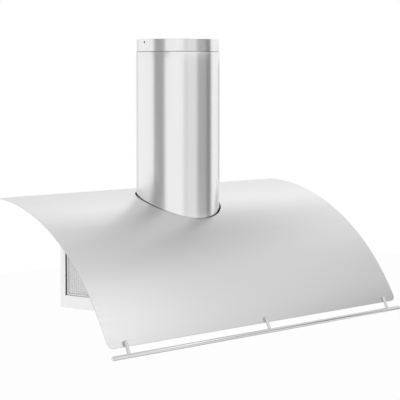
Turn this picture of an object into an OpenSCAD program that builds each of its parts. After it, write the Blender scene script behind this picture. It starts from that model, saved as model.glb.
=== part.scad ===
// Wall mount range hood: a curved canopy sheet over a filter box, with a round telescoping chimney.
// Millimetres. +X is to the right seen from the front, +Y points to the wall, +Z is up.
// The wall is the plane y = 0, and the origin is in it, at the middle of the four wall screws.

/* [Canopy] */
// Width of the curved sheet, from side to side
canopy_w = 900; // [780:10:1200]
// Depth of the sheet, from the wall to its front edge
canopy_depth = 484; // [470:2:560]
// Fall of the sheet, from the wall to its front edge
canopy_rise = 286; // [276:2:320]
// Thickness of the sheet
canopy_t = 1.5; // [1:0.1:3]
// Radius of the two front corners
canopy_corner_r = 14; // [8:1:60]
// Height of the sheet's wall edge above the middle of the wall screws
canopy_up = 150; // [135:1:180]
// Height of the angle that holds the wall edge
wall_angle_h = 25; // [18:1:40]
// Depth of the angle that holds the wall edge
wall_angle_d = 20; // [12:1:40]
// Distance of the angle's ends from the sheet's sides
wall_angle_inset = 90; // [20:5:150]

/* [Chimney] */
// Outside diameter of the lower section
chimney_d = 215; // [200:1:240]
// Wall thickness of both sections
chimney_t = 1; // [0.7:0.1:1.5]
// Length of the lower section
chimney_l = 440; // [300:5:700]
// Length of upper section that shows when it is pushed down
chimney_show = 32; // [20:1:80]
// Gap between the two sections
chimney_slack = 0.5; // [0.3:0.1:0.9]
// Gap between the chimney and the wall
chimney_back_gap = 30; // [20:1:50]
// Gap between the chimney and the canopy's cut-out
cutout_gap = 3.5; // [2:0.5:6]
// Distance of the ceiling screws below the chimney's top
ceiling_screw_down = 8; // [6:0.5:14]
// Diameter of the ceiling screw holes
ceiling_hole_d = 4.5; // [3:0.5:6]
// Diameter of the two side holes near the chimney's top
chimney_hole_d = 6; // [4:0.5:8]

/* [Filter box] */
// Width of the box at the wall
box_w = 546; // [500:2:640]
// Slant of the side faces, in degrees from square to the wall
box_slant = 22; // [16:1:26]
// Thickness of the box's panels
panel_t = 1; // [0.8:0.1:1.5]
// Depth of the back panel's side flanges
box_flange = 10; // [6:1:20]
// Width of the flanges that join panel to panel
turn_w = 15; // [10:1:20]
// Free space between the blower and the front panel
front_room = 28; // [24:1:60]
// Height from the deck to the canopy, at the chimney's front
deck_drop = 22; // [19:1:30]
// Distance between the wall screws, side to side
wall_screw_x = 400; // [320:5:440]
// Distance between the wall screws, up and down
wall_screw_z = 160; // [140:5:190]
// Diameter of the wall screw holes
wall_hole_d = 8; // [5:0.5:10]

/* [Filters] */
// Border of the side face behind the filter
filter_edge = 9; // [6:0.5:25]
// Border of the side face in front of the filter
filter_front = 36; // [30:1:60]
// Border of the side face below the filter
filter_sill = 32; // [20:1:45]
// Least height from the filter to the canopy
filter_head = 20; // [12:1:40]
// Depth of the filter's front behind the side face
filter_recess = 4; // [3.6:0.1:8]
// Thickness of the filter
filter_t = 9; // [7:0.5:14]
// Width of the filter frame's rim
filter_rim = 4; // [3:0.5:8]
// Gap at the filter's two ends
filter_gap = 2.5; // [1:0.5:4]
// Spacing of the net's openings
net_pitch = 16; // [14:1:24]
// Width of the net's strands
net_strand = 2.4; // [1.6:0.2:4]

/* [Blower] */
// Outside diameter of the fan wheel
wheel_d = 160; // [140:2:170]
// Width of the fan wheel
wheel_w = 104; // [80:2:120]
// Number of blades
blade_n = 30; // [16:1:36]
// Depth of the blades, from their outer to their inner edge
blade_depth = 14; // [10:1:18]
// Thickness of the blades
blade_t = 1; // [0.8:0.1:1.6]
// Gap between the wheel and the scroll where it is least
scroll_gap = 6; // [4:0.5:10]
// Growth of the scroll's radius at each quarter turn
scroll_step = 10; // [6:0.5:12]
// Gap between the wheel and each side plate
wheel_side_gap = 8; // [7:0.5:14]
// Diameter of the motor
motor_d = 80; // [60:1:90]
// Length of the motor
motor_l = 62; // [50:1:80]
// Diameter of the motor shaft
shaft_d = 8; // [6:0.5:10]

/* [Air outlet] */
// Outside diameter of the duct collar
duct_d = 150; // [125:1:160]
// Height of the duct collar above the deck
collar_h = 90; // [70:1:110]
// Height of the damper pin above the deck
damper_up = 25; // [15:1:40]
// Diameter of the damper pin
damper_pin_d = 4; // [3:0.5:6]

/* [Controls] */
// Diameter of the push buttons
button_d = 14; // [10:0.5:16]
// Spacing of the push buttons
button_pitch = 22; // [21:0.5:26]
// Travel of the push buttons
button_travel = 2; // [1:0.1:3]
// How far the push buttons stand out of the fascia
button_out = 2.5; // [2.2:0.1:4]

/* [Lamps] */
// Diameter of the lamp lens
lens_d = 52; // [40:1:60]
// Distance of the lamps from the wall
lamp_back = 150; // [110:1:190]
// Distance of the lamps from the box's side faces
lamp_side = 86; // [75:1:110]

/* [Rail] */
// Diameter of the rail
rail_d = 10; // [8:0.5:16]
// Diameter of the rail's posts
post_d = 8; // [6:0.5:10]
// Distance from the canopy's edge to the middle of the rail
post_reach = 22; // [18:0.5:40]
// Length of post that lies on the canopy
post_grip = 14; // [11:0.5:24]
// Distance of the outer posts from the canopy's sides
post_inset = 45; // [30:1:120]

/* [Hidden] */
$fn = 96;
ARC_FN = 180;
steel = [0.80, 0.80, 0.81];
steel_light = [0.88, 0.88, 0.89];
zinc = [0.70, 0.72, 0.74];
mesh_grey = [0.62, 0.62, 0.63];
rubber_black = [0.10, 0.10, 0.11];
plastic_black = [0.16, 0.16, 0.17];
plastic_grey = [0.55, 0.56, 0.58];
plastic_white = [0.90, 0.90, 0.88];
glass_white = [0.93, 0.95, 0.95];

// Overrun of every cut, and the clearances that fits share
over = 5;
seat_gap = 0.2;
hole_slack = 0.1;
running_slack = 0.08;

// Canopy arc: level at the wall, one radius down to the front edge
canopy_r = (canopy_depth * canopy_depth + canopy_rise * canopy_rise) / (2 * canopy_rise);
canopy_end_a = asin(canopy_depth / canopy_r);
arc_z = canopy_up - canopy_r;
inner_r = canopy_r - canopy_t;
edge_z = canopy_up - canopy_rise;

// Wall angle under the sheet's wall edge
wall_angle_top = under_z(-wall_angle_d, seat_gap);
wall_angle_low = wall_angle_top - wall_angle_h;

// Chimney, seen from above
chimney_r = chimney_d / 2;
chimney_y = -(chimney_back_gap + chimney_r);
upper_r = chimney_r - chimney_t - chimney_slack;
foot_t = 1.2;
foot_land = 12;
foot_upstand = 12;
foot_rim = 10.5;
foot_out_r = chimney_r + foot_rim;
foot_in_r = chimney_r - foot_land;

// Deck, blower and floor are stacked down from the canopy
deck_z = under_z(chimney_y - chimney_r) - deck_drop;
gasket_t = 3;
gasket_w = 4;
neck_h = 4;
wheel_r = wheel_d / 2;
scroll_r1 = wheel_r + scroll_gap + scroll_step / 2;
scroll_r2 = scroll_r1 + scroll_step;
scroll_r3 = scroll_r2 + scroll_step;
scroll_w = wheel_w + 2 * wheel_side_gap;
scroll_top = scroll_r1 - scroll_step / 2;
scroll_rear = scroll_r3 + scroll_step / 2;
neck_share = 0.7;
neck_d = duct_d * neck_share;
neck_in = scroll_rear - neck_d;
neck_top_z = deck_z - panel_t - gasket_t;
axis_y = chimney_y - scroll_rear + neck_d / 2;
axis_z = neck_top_z - neck_h - scroll_top;
blower_floor_gap = 7;
floor_top = axis_z - scroll_r2 - scroll_step / 2 - panel_t - blower_floor_gap;
floor_z = floor_top - panel_t;
box_depth = -axis_y + scroll_r1 + scroll_step / 2 + panel_t + front_room;

// Filter wells in the side faces: x runs along the face to the front, y into the box
face_l = (box_depth - box_flange) / cos(box_slant);
well_l = face_l - filter_edge - filter_front;
well_z = floor_z + filter_sill;
well_front_y = -box_flange - (filter_edge + well_l) * cos(box_slant);
well_h = under_z(well_front_y) - filter_head - well_z;
well_d = filter_recess + filter_t + seat_gap + panel_t;
well_lip = 6;
filter_l = well_l - 2 * filter_gap;
filter_foot_gap = 0.3;
filter_head_gap = 1.5;
filter_h = well_h - filter_foot_gap - filter_head_gap;
filter_lip_t = 0.8;
net_t = 1.2;
core_t = filter_t - net_t - 3 * filter_lip_t;
frame_wall = 0.8;
pull_wire_d = 2.4;
pull_w = 26;
pull_drop = 16;
pull_eye = 5;
pull_down = filter_rim / 2;

// Damper and collar
duct_r = duct_d / 2;
collar_t = 1;
collar_flange_share = 0.68;
collar_flange_r = duct_r + (foot_in_r - duct_r) * collar_flange_share;
collar_screw_r = (duct_r + collar_flange_r) / 2;
damper_z = deck_z + damper_up;
flap_t = 0.8;
flap_gap = 1.2;
flap_r = duct_r - collar_t - flap_gap;
knuckle_wall = 1.3;
knuckle_r = damper_pin_d / 2 + hole_slack + knuckle_wall;
knuckle_l = 16;
knuckle_pitch = 30;
knuckle_shares = [-1.5, 0.5];
ledge_w = 3.5;
ledge_t = 1;

// Blower
hub_wall = 9;
hub_r = shaft_d / 2 + hub_wall;
hub_l = 16;
disc_t = 1.5;
wheel_ring_w = 10;
wheel_ring_t = 2;
blade_r = 12;
blade_set_in = 10;
inlet_step = 4;
inlet_r = wheel_r - blade_depth - inlet_step;
inlet_lip = 5;
motor_gap = 8;
motor_cap_r = 6;
motor_rib_t = 2;
motor_rib_n = 12;
bracket_t = 2;
bracket_ring_w = 6;
bracket_arm_w = 12;
mount_h = 8;
mount_d = 12;
mount_tab_t = 1.5;
mount_tab_w = 18;
mount_out = 11;
mount_in = 15;

// Screws: shank and head
screw_d = 4;
screw_head_d = 7;
screw_head_h = 1.8;
screw_past = 1;

// Electrical pieces on the deck
terminal_w = 72;
terminal_d = 60;
terminal_h = 40;
terminal_wall = 2;
terminal_back = 30;
terminal_side = 6;
terminal_y = -(terminal_back + terminal_d / 2);
terminal_x = -(wall_screw_x / 2 - wall_hole_d / 2 - terminal_side - terminal_w / 2);
gland_d = 18;
gland_l = 10;
cable_d = 9;
gland_z = deck_z + terminal_h / 2;
bush_d = 22;
bush_flange_d = 28;
bush_flange_t = 2;
bush_bore_d = 14;
capacitor_d = 32;
capacitor_h = 58;
driver_w = 84;
driver_d = 40;
driver_h = 24;
driver_gap = 4;
driver_foot_share = 0.1;
way_w = 12;
way_d = 16;
way_h = 14;
wire_share = 0.33;

// Controls, in the floor panel's front part
button_n = 5;
button_flange_w = 1.4;
button_flange_t = 1;
housing_wall = 2;
housing_room = 2;
housing_w = button_d + 2 * (button_flange_w + housing_room + housing_wall);
housing_l = (button_n - 1) * button_pitch + housing_w;
housing_h = 22;
fascia_t = 2;
fascia_border = 5;
fascia_l = housing_l + 2 * fascia_border;
fascia_w = housing_w + 2 * fascia_border;
fascia_front = 18;
fascia_y = -box_depth + fascia_front + fascia_w / 2;
fascia_corner = 4;
button_stem_d = 6;
button_stem_l = 8;
button_edge_r = 1.2;

// Lamps, in the floor panel
lens_t = 3.5;
lens_in = 1;
lamp_ring_w = 8;
lamp_ring_t = 2.5;
lamp_sleeve_t = 1;
lamp_sleeve_h = 4;
lamp_h = 26;
lamp_y = -lamp_back;
lamp_x = side_x(lamp_y) - lamp_side;
fin_n = 5;
fin_t = 2;

// Rail
rail_r = rail_d / 2;
post_r = post_d / 2;
rail_cap_t = 3;
post_screw_d = 3;
post_screw_in = 4;
post_off = 0.05;

// Height of the canopy's underside at y, with a gap left below it
function under_z(y, gap = 0) = arc_z + sqrt(pow(canopy_r - canopy_t - gap, 2) - y * y);

// Half width of the box at y, at its outer faces
function side_x(y) = box_w / 2 - max(0, -y - box_flange) * tan(box_slant);

// Arc frame: x is the radius, y the way forward, z the width
module in_arc() {
    translate([0, 0, arc_z])
        rotate(a = 180, v = [1, 0, 1])
            children();
}

// Part of a sheet bent round the canopy's centre, with its outer face at radius r
module arc_sheet(r, t, w, past = 0) {
    in_arc()
        rotate_extrude(angle = canopy_end_a + past, $fn = ARC_FN)
            translate([r - t, -w / 2])
                square([t, w]);
}

// Everything below the canopy's underside, less a gap
module below_canopy(gap) {
    translate([0, 0, arc_z])
        rotate([0, 90, 0])
            cylinder(r = inner_r - gap, h = box_w + 2 * over, center = true, $fn = ARC_FN);
}

// Front edge frame: z runs up the sheet from its edge, y into the sheet
module at_edge() {
    translate([0, -canopy_depth, edge_z])
        rotate([canopy_end_a - 90, 0, 0])
            children();
}

// The children, or their mirror image across the plane square to v where side is negative
module mirrored(side, v) {
    if (side < 0)
        mirror(v)
            children();
    else
        children();
}

// Side face frame of the left side, or its mirror image on the right
module on_side(side) {
    mirrored(-side, [1, 0, 0])
        left_face()
            children();
}

module left_face() {
    translate([-box_w / 2, -box_flange, 0])
        rotate([0, 0, box_slant - 90])
            children();
}

// Blower frame: x is the way to the wall, y is up, z is the shaft
module on_shaft() {
    translate([0, axis_y, axis_z])
        rotate([90, 0, 90])
            children();
}

// Box from its low corner to its high corner
module block(low, high) {
    translate(low)
        cube(high - low);
}

// Tube standing on z = 0
module tube(r_out, r_in, h) {
    difference() {
        cylinder(r = r_out, h = h);
        translate([0, 0, -over])
            cylinder(r = r_in, h = h + 2 * over);
    }
}

// Slab that follows a side face, from depth y0 to depth y1
module side_slab(side, y0, y1) {
    on_side(side)
        block([-over, y0, floor_top], [face_l + over, y1, canopy_up]);
}

// Outline of the box seen from above, drawn in by inset at the slanted faces
module box_plan(y_front, y_back, inset = 0) {
    shift = inset / cos(box_slant);
    polygon([
        [-side_x(y_back) + shift, y_back],
        if (y_back > -box_flange) [-side_x(0) + shift, -box_flange],
        [-side_x(y_front) + shift, y_front],
        [side_x(y_front) - shift, y_front],
        if (y_back > -box_flange) [side_x(0) - shift, -box_flange],
        [side_x(y_back) - shift, y_back],
    ]);
}

// Pan head screw with its head below z = 0 and its shank upward
module screw(d, l) {
    cylinder(d = d, h = l);
    translate([0, 0, -screw_head_h])
        cylinder(d1 = screw_head_d - screw_head_h, d2 = screw_head_d, h = screw_head_h);
}

// Canopy and its wall angle

module canopy() {
    color(steel)
        difference() {
            intersection() {
                arc_sheet(canopy_r, canopy_t, canopy_w + 2 * over, atan(over / canopy_r));
                at_edge()
                    translate([0, canopy_rise + over, 0])
                        rotate([90, 0, 0])
                            linear_extrude(canopy_rise + 2 * over)
                                canopy_outline();
            }
            translate([0, chimney_y, 0])
                cylinder(r = chimney_r + cutout_gap, h = canopy_up + over);
            for (x = post_places())
                at_edge()
                    translate([x, -over, post_grip / 2])
                        rotate([-90, 0, 0])
                            cylinder(d = post_screw_d + 2 * hole_slack, h = canopy_t + 2 * over);
        }
}

// Sheet seen square to its front edge, with the two rounded corners
module canopy_outline() {
    x = canopy_w / 2 - canopy_corner_r;
    translate([-x, 0])
        square([2 * x, canopy_depth + over]);
    translate([-canopy_w / 2, canopy_corner_r])
        square([canopy_w, canopy_depth + over - canopy_corner_r]);
    for (side = [-1, 1])
        translate([side * x, canopy_corner_r])
            circle(r = canopy_corner_r);
}

module wall_angle() {
    w = canopy_w - 2 * wall_angle_inset;
    color(zinc)
        difference() {
            block([-w / 2, -wall_angle_d, wall_angle_low], [w / 2, 0, wall_angle_top]);
            block([-w / 2 - over, -wall_angle_d - over, wall_angle_low - over],
                [w / 2 + over, -canopy_t, wall_angle_top - canopy_t]);
            for (side = [-1, 1])
                translate([side * (w / 2 - 2 * wall_angle_d), over, wall_angle_low + wall_angle_h / 2])
                    rotate([90, 0, 0])
                        cylinder(d = wall_hole_d, h = canopy_t + 2 * over);
            translate([0, chimney_y, wall_angle_low])
                cylinder(r = chimney_r + cutout_gap, h = wall_angle_h + over);
        }
}

// Filter box

module back_panel() {
    top = wall_angle_low - panel_t;
    color(steel_light)
        difference() {
            block([-box_w / 2, -box_flange, floor_top], [box_w / 2, 0, top]);
            block([-box_w / 2 + panel_t, -box_flange - over, floor_top - over],
                [box_w / 2 - panel_t, -panel_t, top + over]);
            for (x = [-1, 1], z = [-1, 1])
                translate([x * wall_screw_x / 2, over, z * wall_screw_z / 2])
                    rotate([90, 0, 0])
                        cylinder(d = wall_hole_d, h = panel_t + 2 * over);
            translate([terminal_x, over, gland_z])
                rotate([90, 0, 0])
                    cylinder(d = bush_d + 2 * hole_slack, h = panel_t + 2 * over);
        }
}

module side_panel(side) {
    color(steel_light)
        difference() {
            union() {
                intersection() {
                    union() {
                        side_slab(side, 0, panel_t);
                        intersection() {
                            arc_sheet(inner_r - seat_gap, panel_t, box_w);
                            side_slab(side, 0, turn_w);
                        }
                        intersection() {
                            block([-box_w, -box_depth, floor_top], [box_w, 0, floor_top + panel_t]);
                            side_slab(side, 0, turn_w);
                        }
                    }
                    below_canopy(seat_gap);
                    block([-box_w, -box_depth + panel_t, floor_top], [box_w, -box_flange, canopy_up]);
                }
                on_side(side)
                    filter_well();
            }
            on_side(side)
                filter_well_cut();
            side_screw_holes(side);
            block([-box_w, -wall_angle_d - panel_t, wall_angle_low - panel_t], [box_w, over, canopy_up + over]);
        }
}

// Folded well that holds a filter: four walls, and a lip behind the filter
module filter_well() {
    block([filter_edge - panel_t, 0, well_z - panel_t],
        [filter_edge + well_l + panel_t, well_d, well_z + well_h + panel_t]);
}

module filter_well_cut() {
    block([filter_edge, -over, well_z], [filter_edge + well_l, well_d - panel_t, well_z + well_h]);
    block([filter_edge + well_lip, 0, well_z + well_lip],
        [filter_edge + well_l - well_lip, well_d + over, well_z + well_h - well_lip]);
}

// Places of the floor screws along a side face, as shares of its length
side_screw_shares = [0.12, 0.5, 0.88];

module side_screw_holes(side) {
    on_side(side)
        for (share = side_screw_shares)
            translate([share * face_l, turn_w / 2, floor_z - over])
                cylinder(d = screw_d + 2 * hole_slack, h = 2 * panel_t + 2 * over);
}

module side_panel_left() {
    side_panel(-1);
}

module side_panel_right() {
    side_panel(1);
}

module front_panel() {
    clear = turn_w + panel_t;
    color(steel_light)
        intersection() {
            union() {
                block([-box_w, -box_depth, floor_top], [box_w, -box_depth + panel_t, canopy_up]);
                front_flange(clear)
                    arc_sheet(inner_r - seat_gap, panel_t, box_w);
                front_flange(clear)
                    block([-box_w, -box_depth, floor_top], [box_w, 0, floor_top + panel_t]);
            }
            below_canopy(seat_gap);
            translate([0, 0, floor_top])
                linear_extrude(canopy_up - floor_top)
                    box_plan(-box_depth, 0);
        }
}

// Keeps what lies inside the side flanges, one flange width behind the front panel
module front_flange(clear) {
    intersection() {
        children();
        translate([0, 0, floor_top])
            linear_extrude(canopy_up - floor_top)
                box_plan(-box_depth, -box_depth + fascia_front - housing_wall, clear);
    }
}

module floor_panel() {
    color(steel_light)
        difference() {
            translate([0, 0, floor_z])
                linear_extrude(panel_t)
                    box_plan(-box_depth, 0);
            for (side = [-1, 1]) {
                side_screw_holes(side);
                translate([side * lamp_x, lamp_y, floor_z - over])
                    cylinder(d = lens_d + 2 * (hole_slack + lamp_sleeve_t + hole_slack), h = panel_t + 2 * over);
            }
            translate([0, fascia_y, floor_z - over])
                linear_extrude(panel_t + 2 * over)
                    square([housing_l - 2 * housing_wall, housing_w - 2 * housing_wall], center = true);
        }
}

module floor_screws() {
    color(zinc)
        for (side = [-1, 1])
            on_side(side)
                for (share = side_screw_shares)
                    translate([share * face_l, turn_w / 2, floor_z])
                        screw(screw_d, 2 * panel_t + screw_past);
}

// Front edge of the deck, where it stays clear of the flanges under the canopy
deck_set_back = 12;
deck_flange = 12;
deck_front_y = -sqrt(pow(inner_r - seat_gap - panel_t, 2) - pow(deck_z - arc_z, 2)) + deck_set_back;

module top_deck() {
    color(zinc)
        difference() {
            translate([0, 0, deck_z - deck_flange])
                linear_extrude(deck_flange)
                    box_plan(deck_front_y, -panel_t - seat_gap, panel_t + seat_gap);
            translate([0, 0, deck_z - deck_flange - over])
                linear_extrude(deck_flange + over - panel_t)
                    box_plan(deck_front_y + panel_t, over, 2 * panel_t + seat_gap);
            translate([0, chimney_y, deck_z - panel_t - over])
                linear_extrude(panel_t + 2 * over)
                    outlet_shape();
            collar_screw_places()
                translate([0, 0, -over])
                    cylinder(d = screw_d + 2 * hole_slack, h = panel_t + 2 * over, center = true);
            foot_screw_places()
                translate([0, 0, -over])
                    cylinder(d = screw_d + 2 * hole_slack, h = panel_t + 2 * over, center = true);
            blower_mount_places()
                cylinder(d = screw_d + 2 * hole_slack, h = mount_h + 2 * over);
        }
}

// Way for the air through the deck: the blower's neck, inside the collar's bore
module outlet_shape() {
    intersection() {
        circle(r = duct_r - collar_t - ledge_w);
        square([scroll_w, neck_d], center = true);
    }
}

module cable_bush() {
    color(rubber_black)
        translate([terminal_x, 0, gland_z])
            rotate([90, 0, 0])
                difference() {
                    union() {
                        cylinder(d = bush_d, h = panel_t + bush_flange_t);
                        translate([0, 0, panel_t])
                            cylinder(d = bush_flange_d, h = bush_flange_t);
                    }
                    translate([0, 0, -over])
                        cylinder(d = bush_bore_d, h = 4 * over);
                }
}

// Filters

module filter_frame(side) {
    low = [filter_edge + filter_gap, filter_recess, well_z + filter_foot_gap];
    size = [filter_l, filter_t, filter_h];
    wall = [frame_wall, 0, frame_wall];
    rim = [filter_rim, 0, filter_rim];
    lip = [0, filter_lip_t, 0];
    color(steel)
        on_side(side)
            difference() {
                union() {
                    block(low, low + size);
                    pull_eyes();
                }
                block(low + wall + lip, low + size - wall - lip);
                block(low + rim - [0, over, 0], low + size - rim + [0, over, 0]);
                pull_bar(hole_slack);
            }
}

// Two eyes on the rim, which hold the ring pull
module pull_eyes() {
    at_pull()
        for (x = [-1, 1])
            translate([x * (pull_w / 2 - pull_eye), 0, 0])
                block([-pull_eye / 2, -pull_wire_d / 2 - seat_gap, -filter_rim / 2],
                    [pull_eye / 2, pull_wire_d / 2 + seat_gap, filter_rim / 2]);
}

// Ring pull's frame, with its hinge line along x
module at_pull() {
    translate([filter_edge + well_l / 2, filter_recess - pull_wire_d / 2 - seat_gap,
            well_z + filter_foot_gap + filter_h - pull_down])
        children();
}

module pull_bar(slack) {
    at_pull()
        rotate([0, 90, 0])
            cylinder(d = pull_wire_d + 2 * slack, h = pull_w + 4 * slack, center = true, $fn = 32);
}

// Wire ring that hangs in front of the net
module filter_pull(side) {
    straight = pull_drop - pull_w / 2 + pull_wire_d / 2;
    bend = (pull_w - pull_wire_d) / 2;
    color(steel)
        on_side(side) {
            pull_bar(-hole_slack);
            at_pull() {
                for (x = [-1, 1])
                    translate([x * bend, 0, -straight])
                        cylinder(d = pull_wire_d - 2 * hole_slack, h = straight, $fn = 32);
                translate([0, 0, -straight])
                    rotate([90, 0, 0])
                        rotate([0, 0, 180])
                            rotate_extrude(angle = 180)
                                translate([bend, 0])
                                    circle(d = pull_wire_d - 2 * hole_slack, $fn = 32);
            }
        }
}

// Net with diamond openings in rows, each row shifted by half a pitch
module filter_net(side) {
    inset = frame_wall + hole_slack;
    l = filter_l - 2 * inset;
    h = filter_h - 2 * inset;
    color(mesh_grey)
        on_side(side)
            translate([filter_edge + filter_gap + inset, filter_recess + filter_lip_t + net_t,
                    well_z + filter_foot_gap + inset])
                rotate([90, 0, 0])
                    linear_extrude(net_t)
                        difference() {
                            square([l, h]);
                            for (place = net_places(l, h))
                                translate(place)
                                    net_opening();
                        }
}

// Centres of the net's openings, inside the frame's rim
function net_places(l, h) = let (
    border = filter_rim + net_strand / 2,
    row = net_pitch / 2,
    rows = floor((h - 2 * border) / row) - 1,
    columns = floor((l - 2 * border) / net_pitch) - 1,
    start = [(l - columns * net_pitch) / 2, (h - (rows - 1) * row) / 2])
    [for (r = [0:rows - 1], c = [0:columns - r % 2]) start + [(c + (r % 2) / 2) * net_pitch, r * row]];

module net_opening() {
    half = (net_pitch - net_strand) / 2;
    polygon([[-half, 0], [0, half], [half, 0], [0, -half]]);
}

// Knitted layers behind the net
module filter_core(side) {
    low = [filter_edge + filter_gap, filter_recess, well_z + filter_foot_gap];
    inset = frame_wall + hole_slack;
    color(mesh_grey)
        on_side(side)
            block(low + [inset, filter_lip_t + net_t, inset],
                low + [filter_l - inset, filter_lip_t + net_t + core_t, filter_h - inset]);
}

module filter_frame_left() {
    filter_frame(-1);
}

module filter_frame_right() {
    filter_frame(1);
}

module filter_net_left() {
    filter_net(-1);
}

module filter_net_right() {
    filter_net(1);
}

module filter_core_left() {
    filter_core(-1);
}

module filter_core_right() {
    filter_core(1);
}

module filter_pull_left() {
    filter_pull(-1);
}

module filter_pull_right() {
    filter_pull(1);
}

// Chimney

module chimney_lower() {
    color(steel)
        translate([0, chimney_y, deck_z + foot_t])
            difference() {
                tube(chimney_r, chimney_r - chimney_t, chimney_l);
                foot_side_screws(screw_d + 2 * hole_slack);
            }
}

// Radial screw holes at the chimney's foot
module foot_side_screws(d) {
    for (side = [-1, 1])
        translate([side * chimney_r, 0, foot_upstand / 2])
            rotate([0, side * 90, 0])
                cylinder(d = d, h = 2 * over, center = true);
}

module chimney_upper() {
    h = chimney_l + chimney_show;
    color(steel)
        translate([0, chimney_y, deck_z + foot_t])
            difference() {
                tube(upper_r, upper_r - chimney_t, h);
                translate([0, 0, h - ceiling_screw_down])
                    rotate([0, 90, 0])
                        cylinder(d = chimney_hole_d, h = chimney_d, center = true);
            }
}

// Ring on the deck that the chimney stands in
module chimney_foot() {
    color(zinc)
        difference() {
            translate([0, chimney_y, deck_z]) {
                tube(foot_out_r, foot_in_r, foot_t);
                difference() {
                    tube(chimney_r + seat_gap + foot_t, chimney_r + seat_gap, foot_t + foot_upstand);
                    translate([0, 0, foot_t])
                        foot_side_screws(screw_d + 2 * hole_slack);
                }
            }
            foot_screw_places()
                cylinder(d = screw_d + 2 * hole_slack, h = 2 * over, center = true);
        }
}

// Places on the deck of the screws through the chimney's foot
module foot_screw_places() {
    r = (chimney_r + seat_gap + foot_t + foot_out_r) / 2;
    for (a = [45:90:315])
        translate([r * cos(a), chimney_y + r * sin(a), deck_z])
            children();
}

module foot_screws() {
    color(zinc) {
        foot_screw_places()
            translate([0, 0, foot_t])
                mirror([0, 0, 1])
                    screw(screw_d, foot_t + panel_t + screw_past);
        for (side = [-1, 1])
            translate([side * (chimney_r + seat_gap + foot_t), chimney_y, deck_z + foot_t + foot_upstand / 2])
                rotate([0, -side * 90, 0])
                    screw(screw_d, seat_gap + foot_t + chimney_t);
    }
}

// Ring flush with the upper section's top, screwed to the ceiling, with two ears for the side screws
module ceiling_ring() {
    r = upper_r - chimney_t - seat_gap;
    color(zinc)
        translate([0, chimney_y, deck_z + foot_t + chimney_l + chimney_show])
            difference() {
                union() {
                    translate([0, 0, -foot_t])
                        tube(r, r - foot_land, foot_t);
                    intersection() {
                        translate([0, 0, -2 * ceiling_screw_down])
                            tube(r, r - foot_t, 2 * ceiling_screw_down);
                        block([-chimney_r, -foot_land, -chimney_r], [chimney_r, foot_land, 0]);
                    }
                }
                translate([0, 0, -ceiling_screw_down])
                    rotate([0, 90, 0])
                        cylinder(d = ceiling_hole_d, h = chimney_d, center = true);
                for (a = [45:90:315])
                    rotate(a)
                        translate([r - foot_land / 2, 0, -foot_t - over])
                            cylinder(d = ceiling_hole_d, h = foot_t + 2 * over);
            }
}

// Air outlet

module duct_collar() {
    color(zinc)
        difference() {
            translate([0, chimney_y, deck_z]) {
                tube(duct_r, duct_r - collar_t, collar_h);
                tube(collar_flange_r, duct_r - collar_t, panel_t);
                translate([0, 0, damper_up - flap_t / 2 - hole_slack - ledge_t])
                    tube(duct_r, duct_r - collar_t - ledge_w, ledge_t);
            }
            translate([0, chimney_y, damper_z])
                rotate([0, 90, 0])
                    cylinder(d = damper_pin_d + 2 * hole_slack, h = duct_d + 2 * over, center = true);
            collar_screw_places()
                cylinder(d = screw_d + 2 * hole_slack, h = 2 * over, center = true);
        }
}

module collar_screw_places() {
    for (a = [0:90:270])
        translate([collar_screw_r * cos(a), chimney_y + collar_screw_r * sin(a), deck_z])
            children();
}

module collar_screws() {
    color(zinc)
        collar_screw_places()
            translate([0, 0, panel_t])
                mirror([0, 0, 1])
                    screw(screw_d, 2 * panel_t + screw_past);
}

module damper_pin() {
    color(zinc)
        translate([0, chimney_y, damper_z])
            rotate([0, 90, 0]) {
                cylinder(d = damper_pin_d, h = duct_d - 2 * hole_slack, center = true);
                for (side = [-1, 1])
                    translate([0, 0, side * 2 * knuckle_pitch])
                        cylinder(r = knuckle_r, h = collar_t, center = true);
            }
}

// Half-moon flap on one side of the pin: way is -1 to the front and 1 to the rear
module damper_flap(way) {
    start = knuckle_r + 2 * hole_slack;
    hub = damper_pin_d / 2 + hole_slack;
    color(zinc)
        translate([0, chimney_y, damper_z])
            rotate([0, 0, way > 0 ? 180 : 0])
                difference() {
                    union() {
                        translate([0, 0, -flap_t / 2])
                            linear_extrude(flap_t)
                                difference() {
                                    circle(r = flap_r);
                                    translate([-duct_r, -start])
                                        square([duct_d, duct_d]);
                                }
                        for (x = knuckle_shares * knuckle_pitch) {
                            translate([x, 0, 0])
                                rotate([0, 90, 0])
                                    cylinder(r = knuckle_r, h = knuckle_l, center = true, $fn = 48);
                            block([x - knuckle_l / 2, -start - flap_t, -flap_t / 2],
                                [x + knuckle_l / 2, -hub, flap_t / 2]);
                        }
                    }
                    rotate([0, 90, 0])
                        cylinder(r = hub, h = duct_d, center = true, $fn = 48);
                }
}

module damper_flap_front() {
    damper_flap(-1);
}

module damper_flap_rear() {
    damper_flap(1);
}

// Blower

// Scroll seen along the shaft: three quarter arcs of growing radius, then the neck up to the deck
module scroll_outline(grow, top) {
    half = scroll_step / 2;
    quarter(-half, -half, scroll_r1 + grow, 90);
    quarter(half, -half, scroll_r2 + grow, 180);
    quarter(half, half, scroll_r3 + grow, 270);
    translate([-half, -half])
        square([neck_in + half, scroll_r1 + grow]);
    translate([neck_in - grow, -half])
        square([neck_d + 2 * grow, top + half]);
}

// Quarter disc whose first edge points along angle a
module quarter(x, y, r, a) {
    translate([x, y])
        rotate(a)
            intersection() {
                circle(r = r, $fn = ARC_FN);
                square(r + over);
            }
}

module scroll_band() {
    top = neck_top_z - axis_z;
    color(zinc)
        on_shaft()
            translate([0, 0, -scroll_w / 2])
                linear_extrude(scroll_w)
                    difference() {
                        scroll_outline(panel_t, top);
                        scroll_outline(0, top + over);
                    }
}

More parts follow.
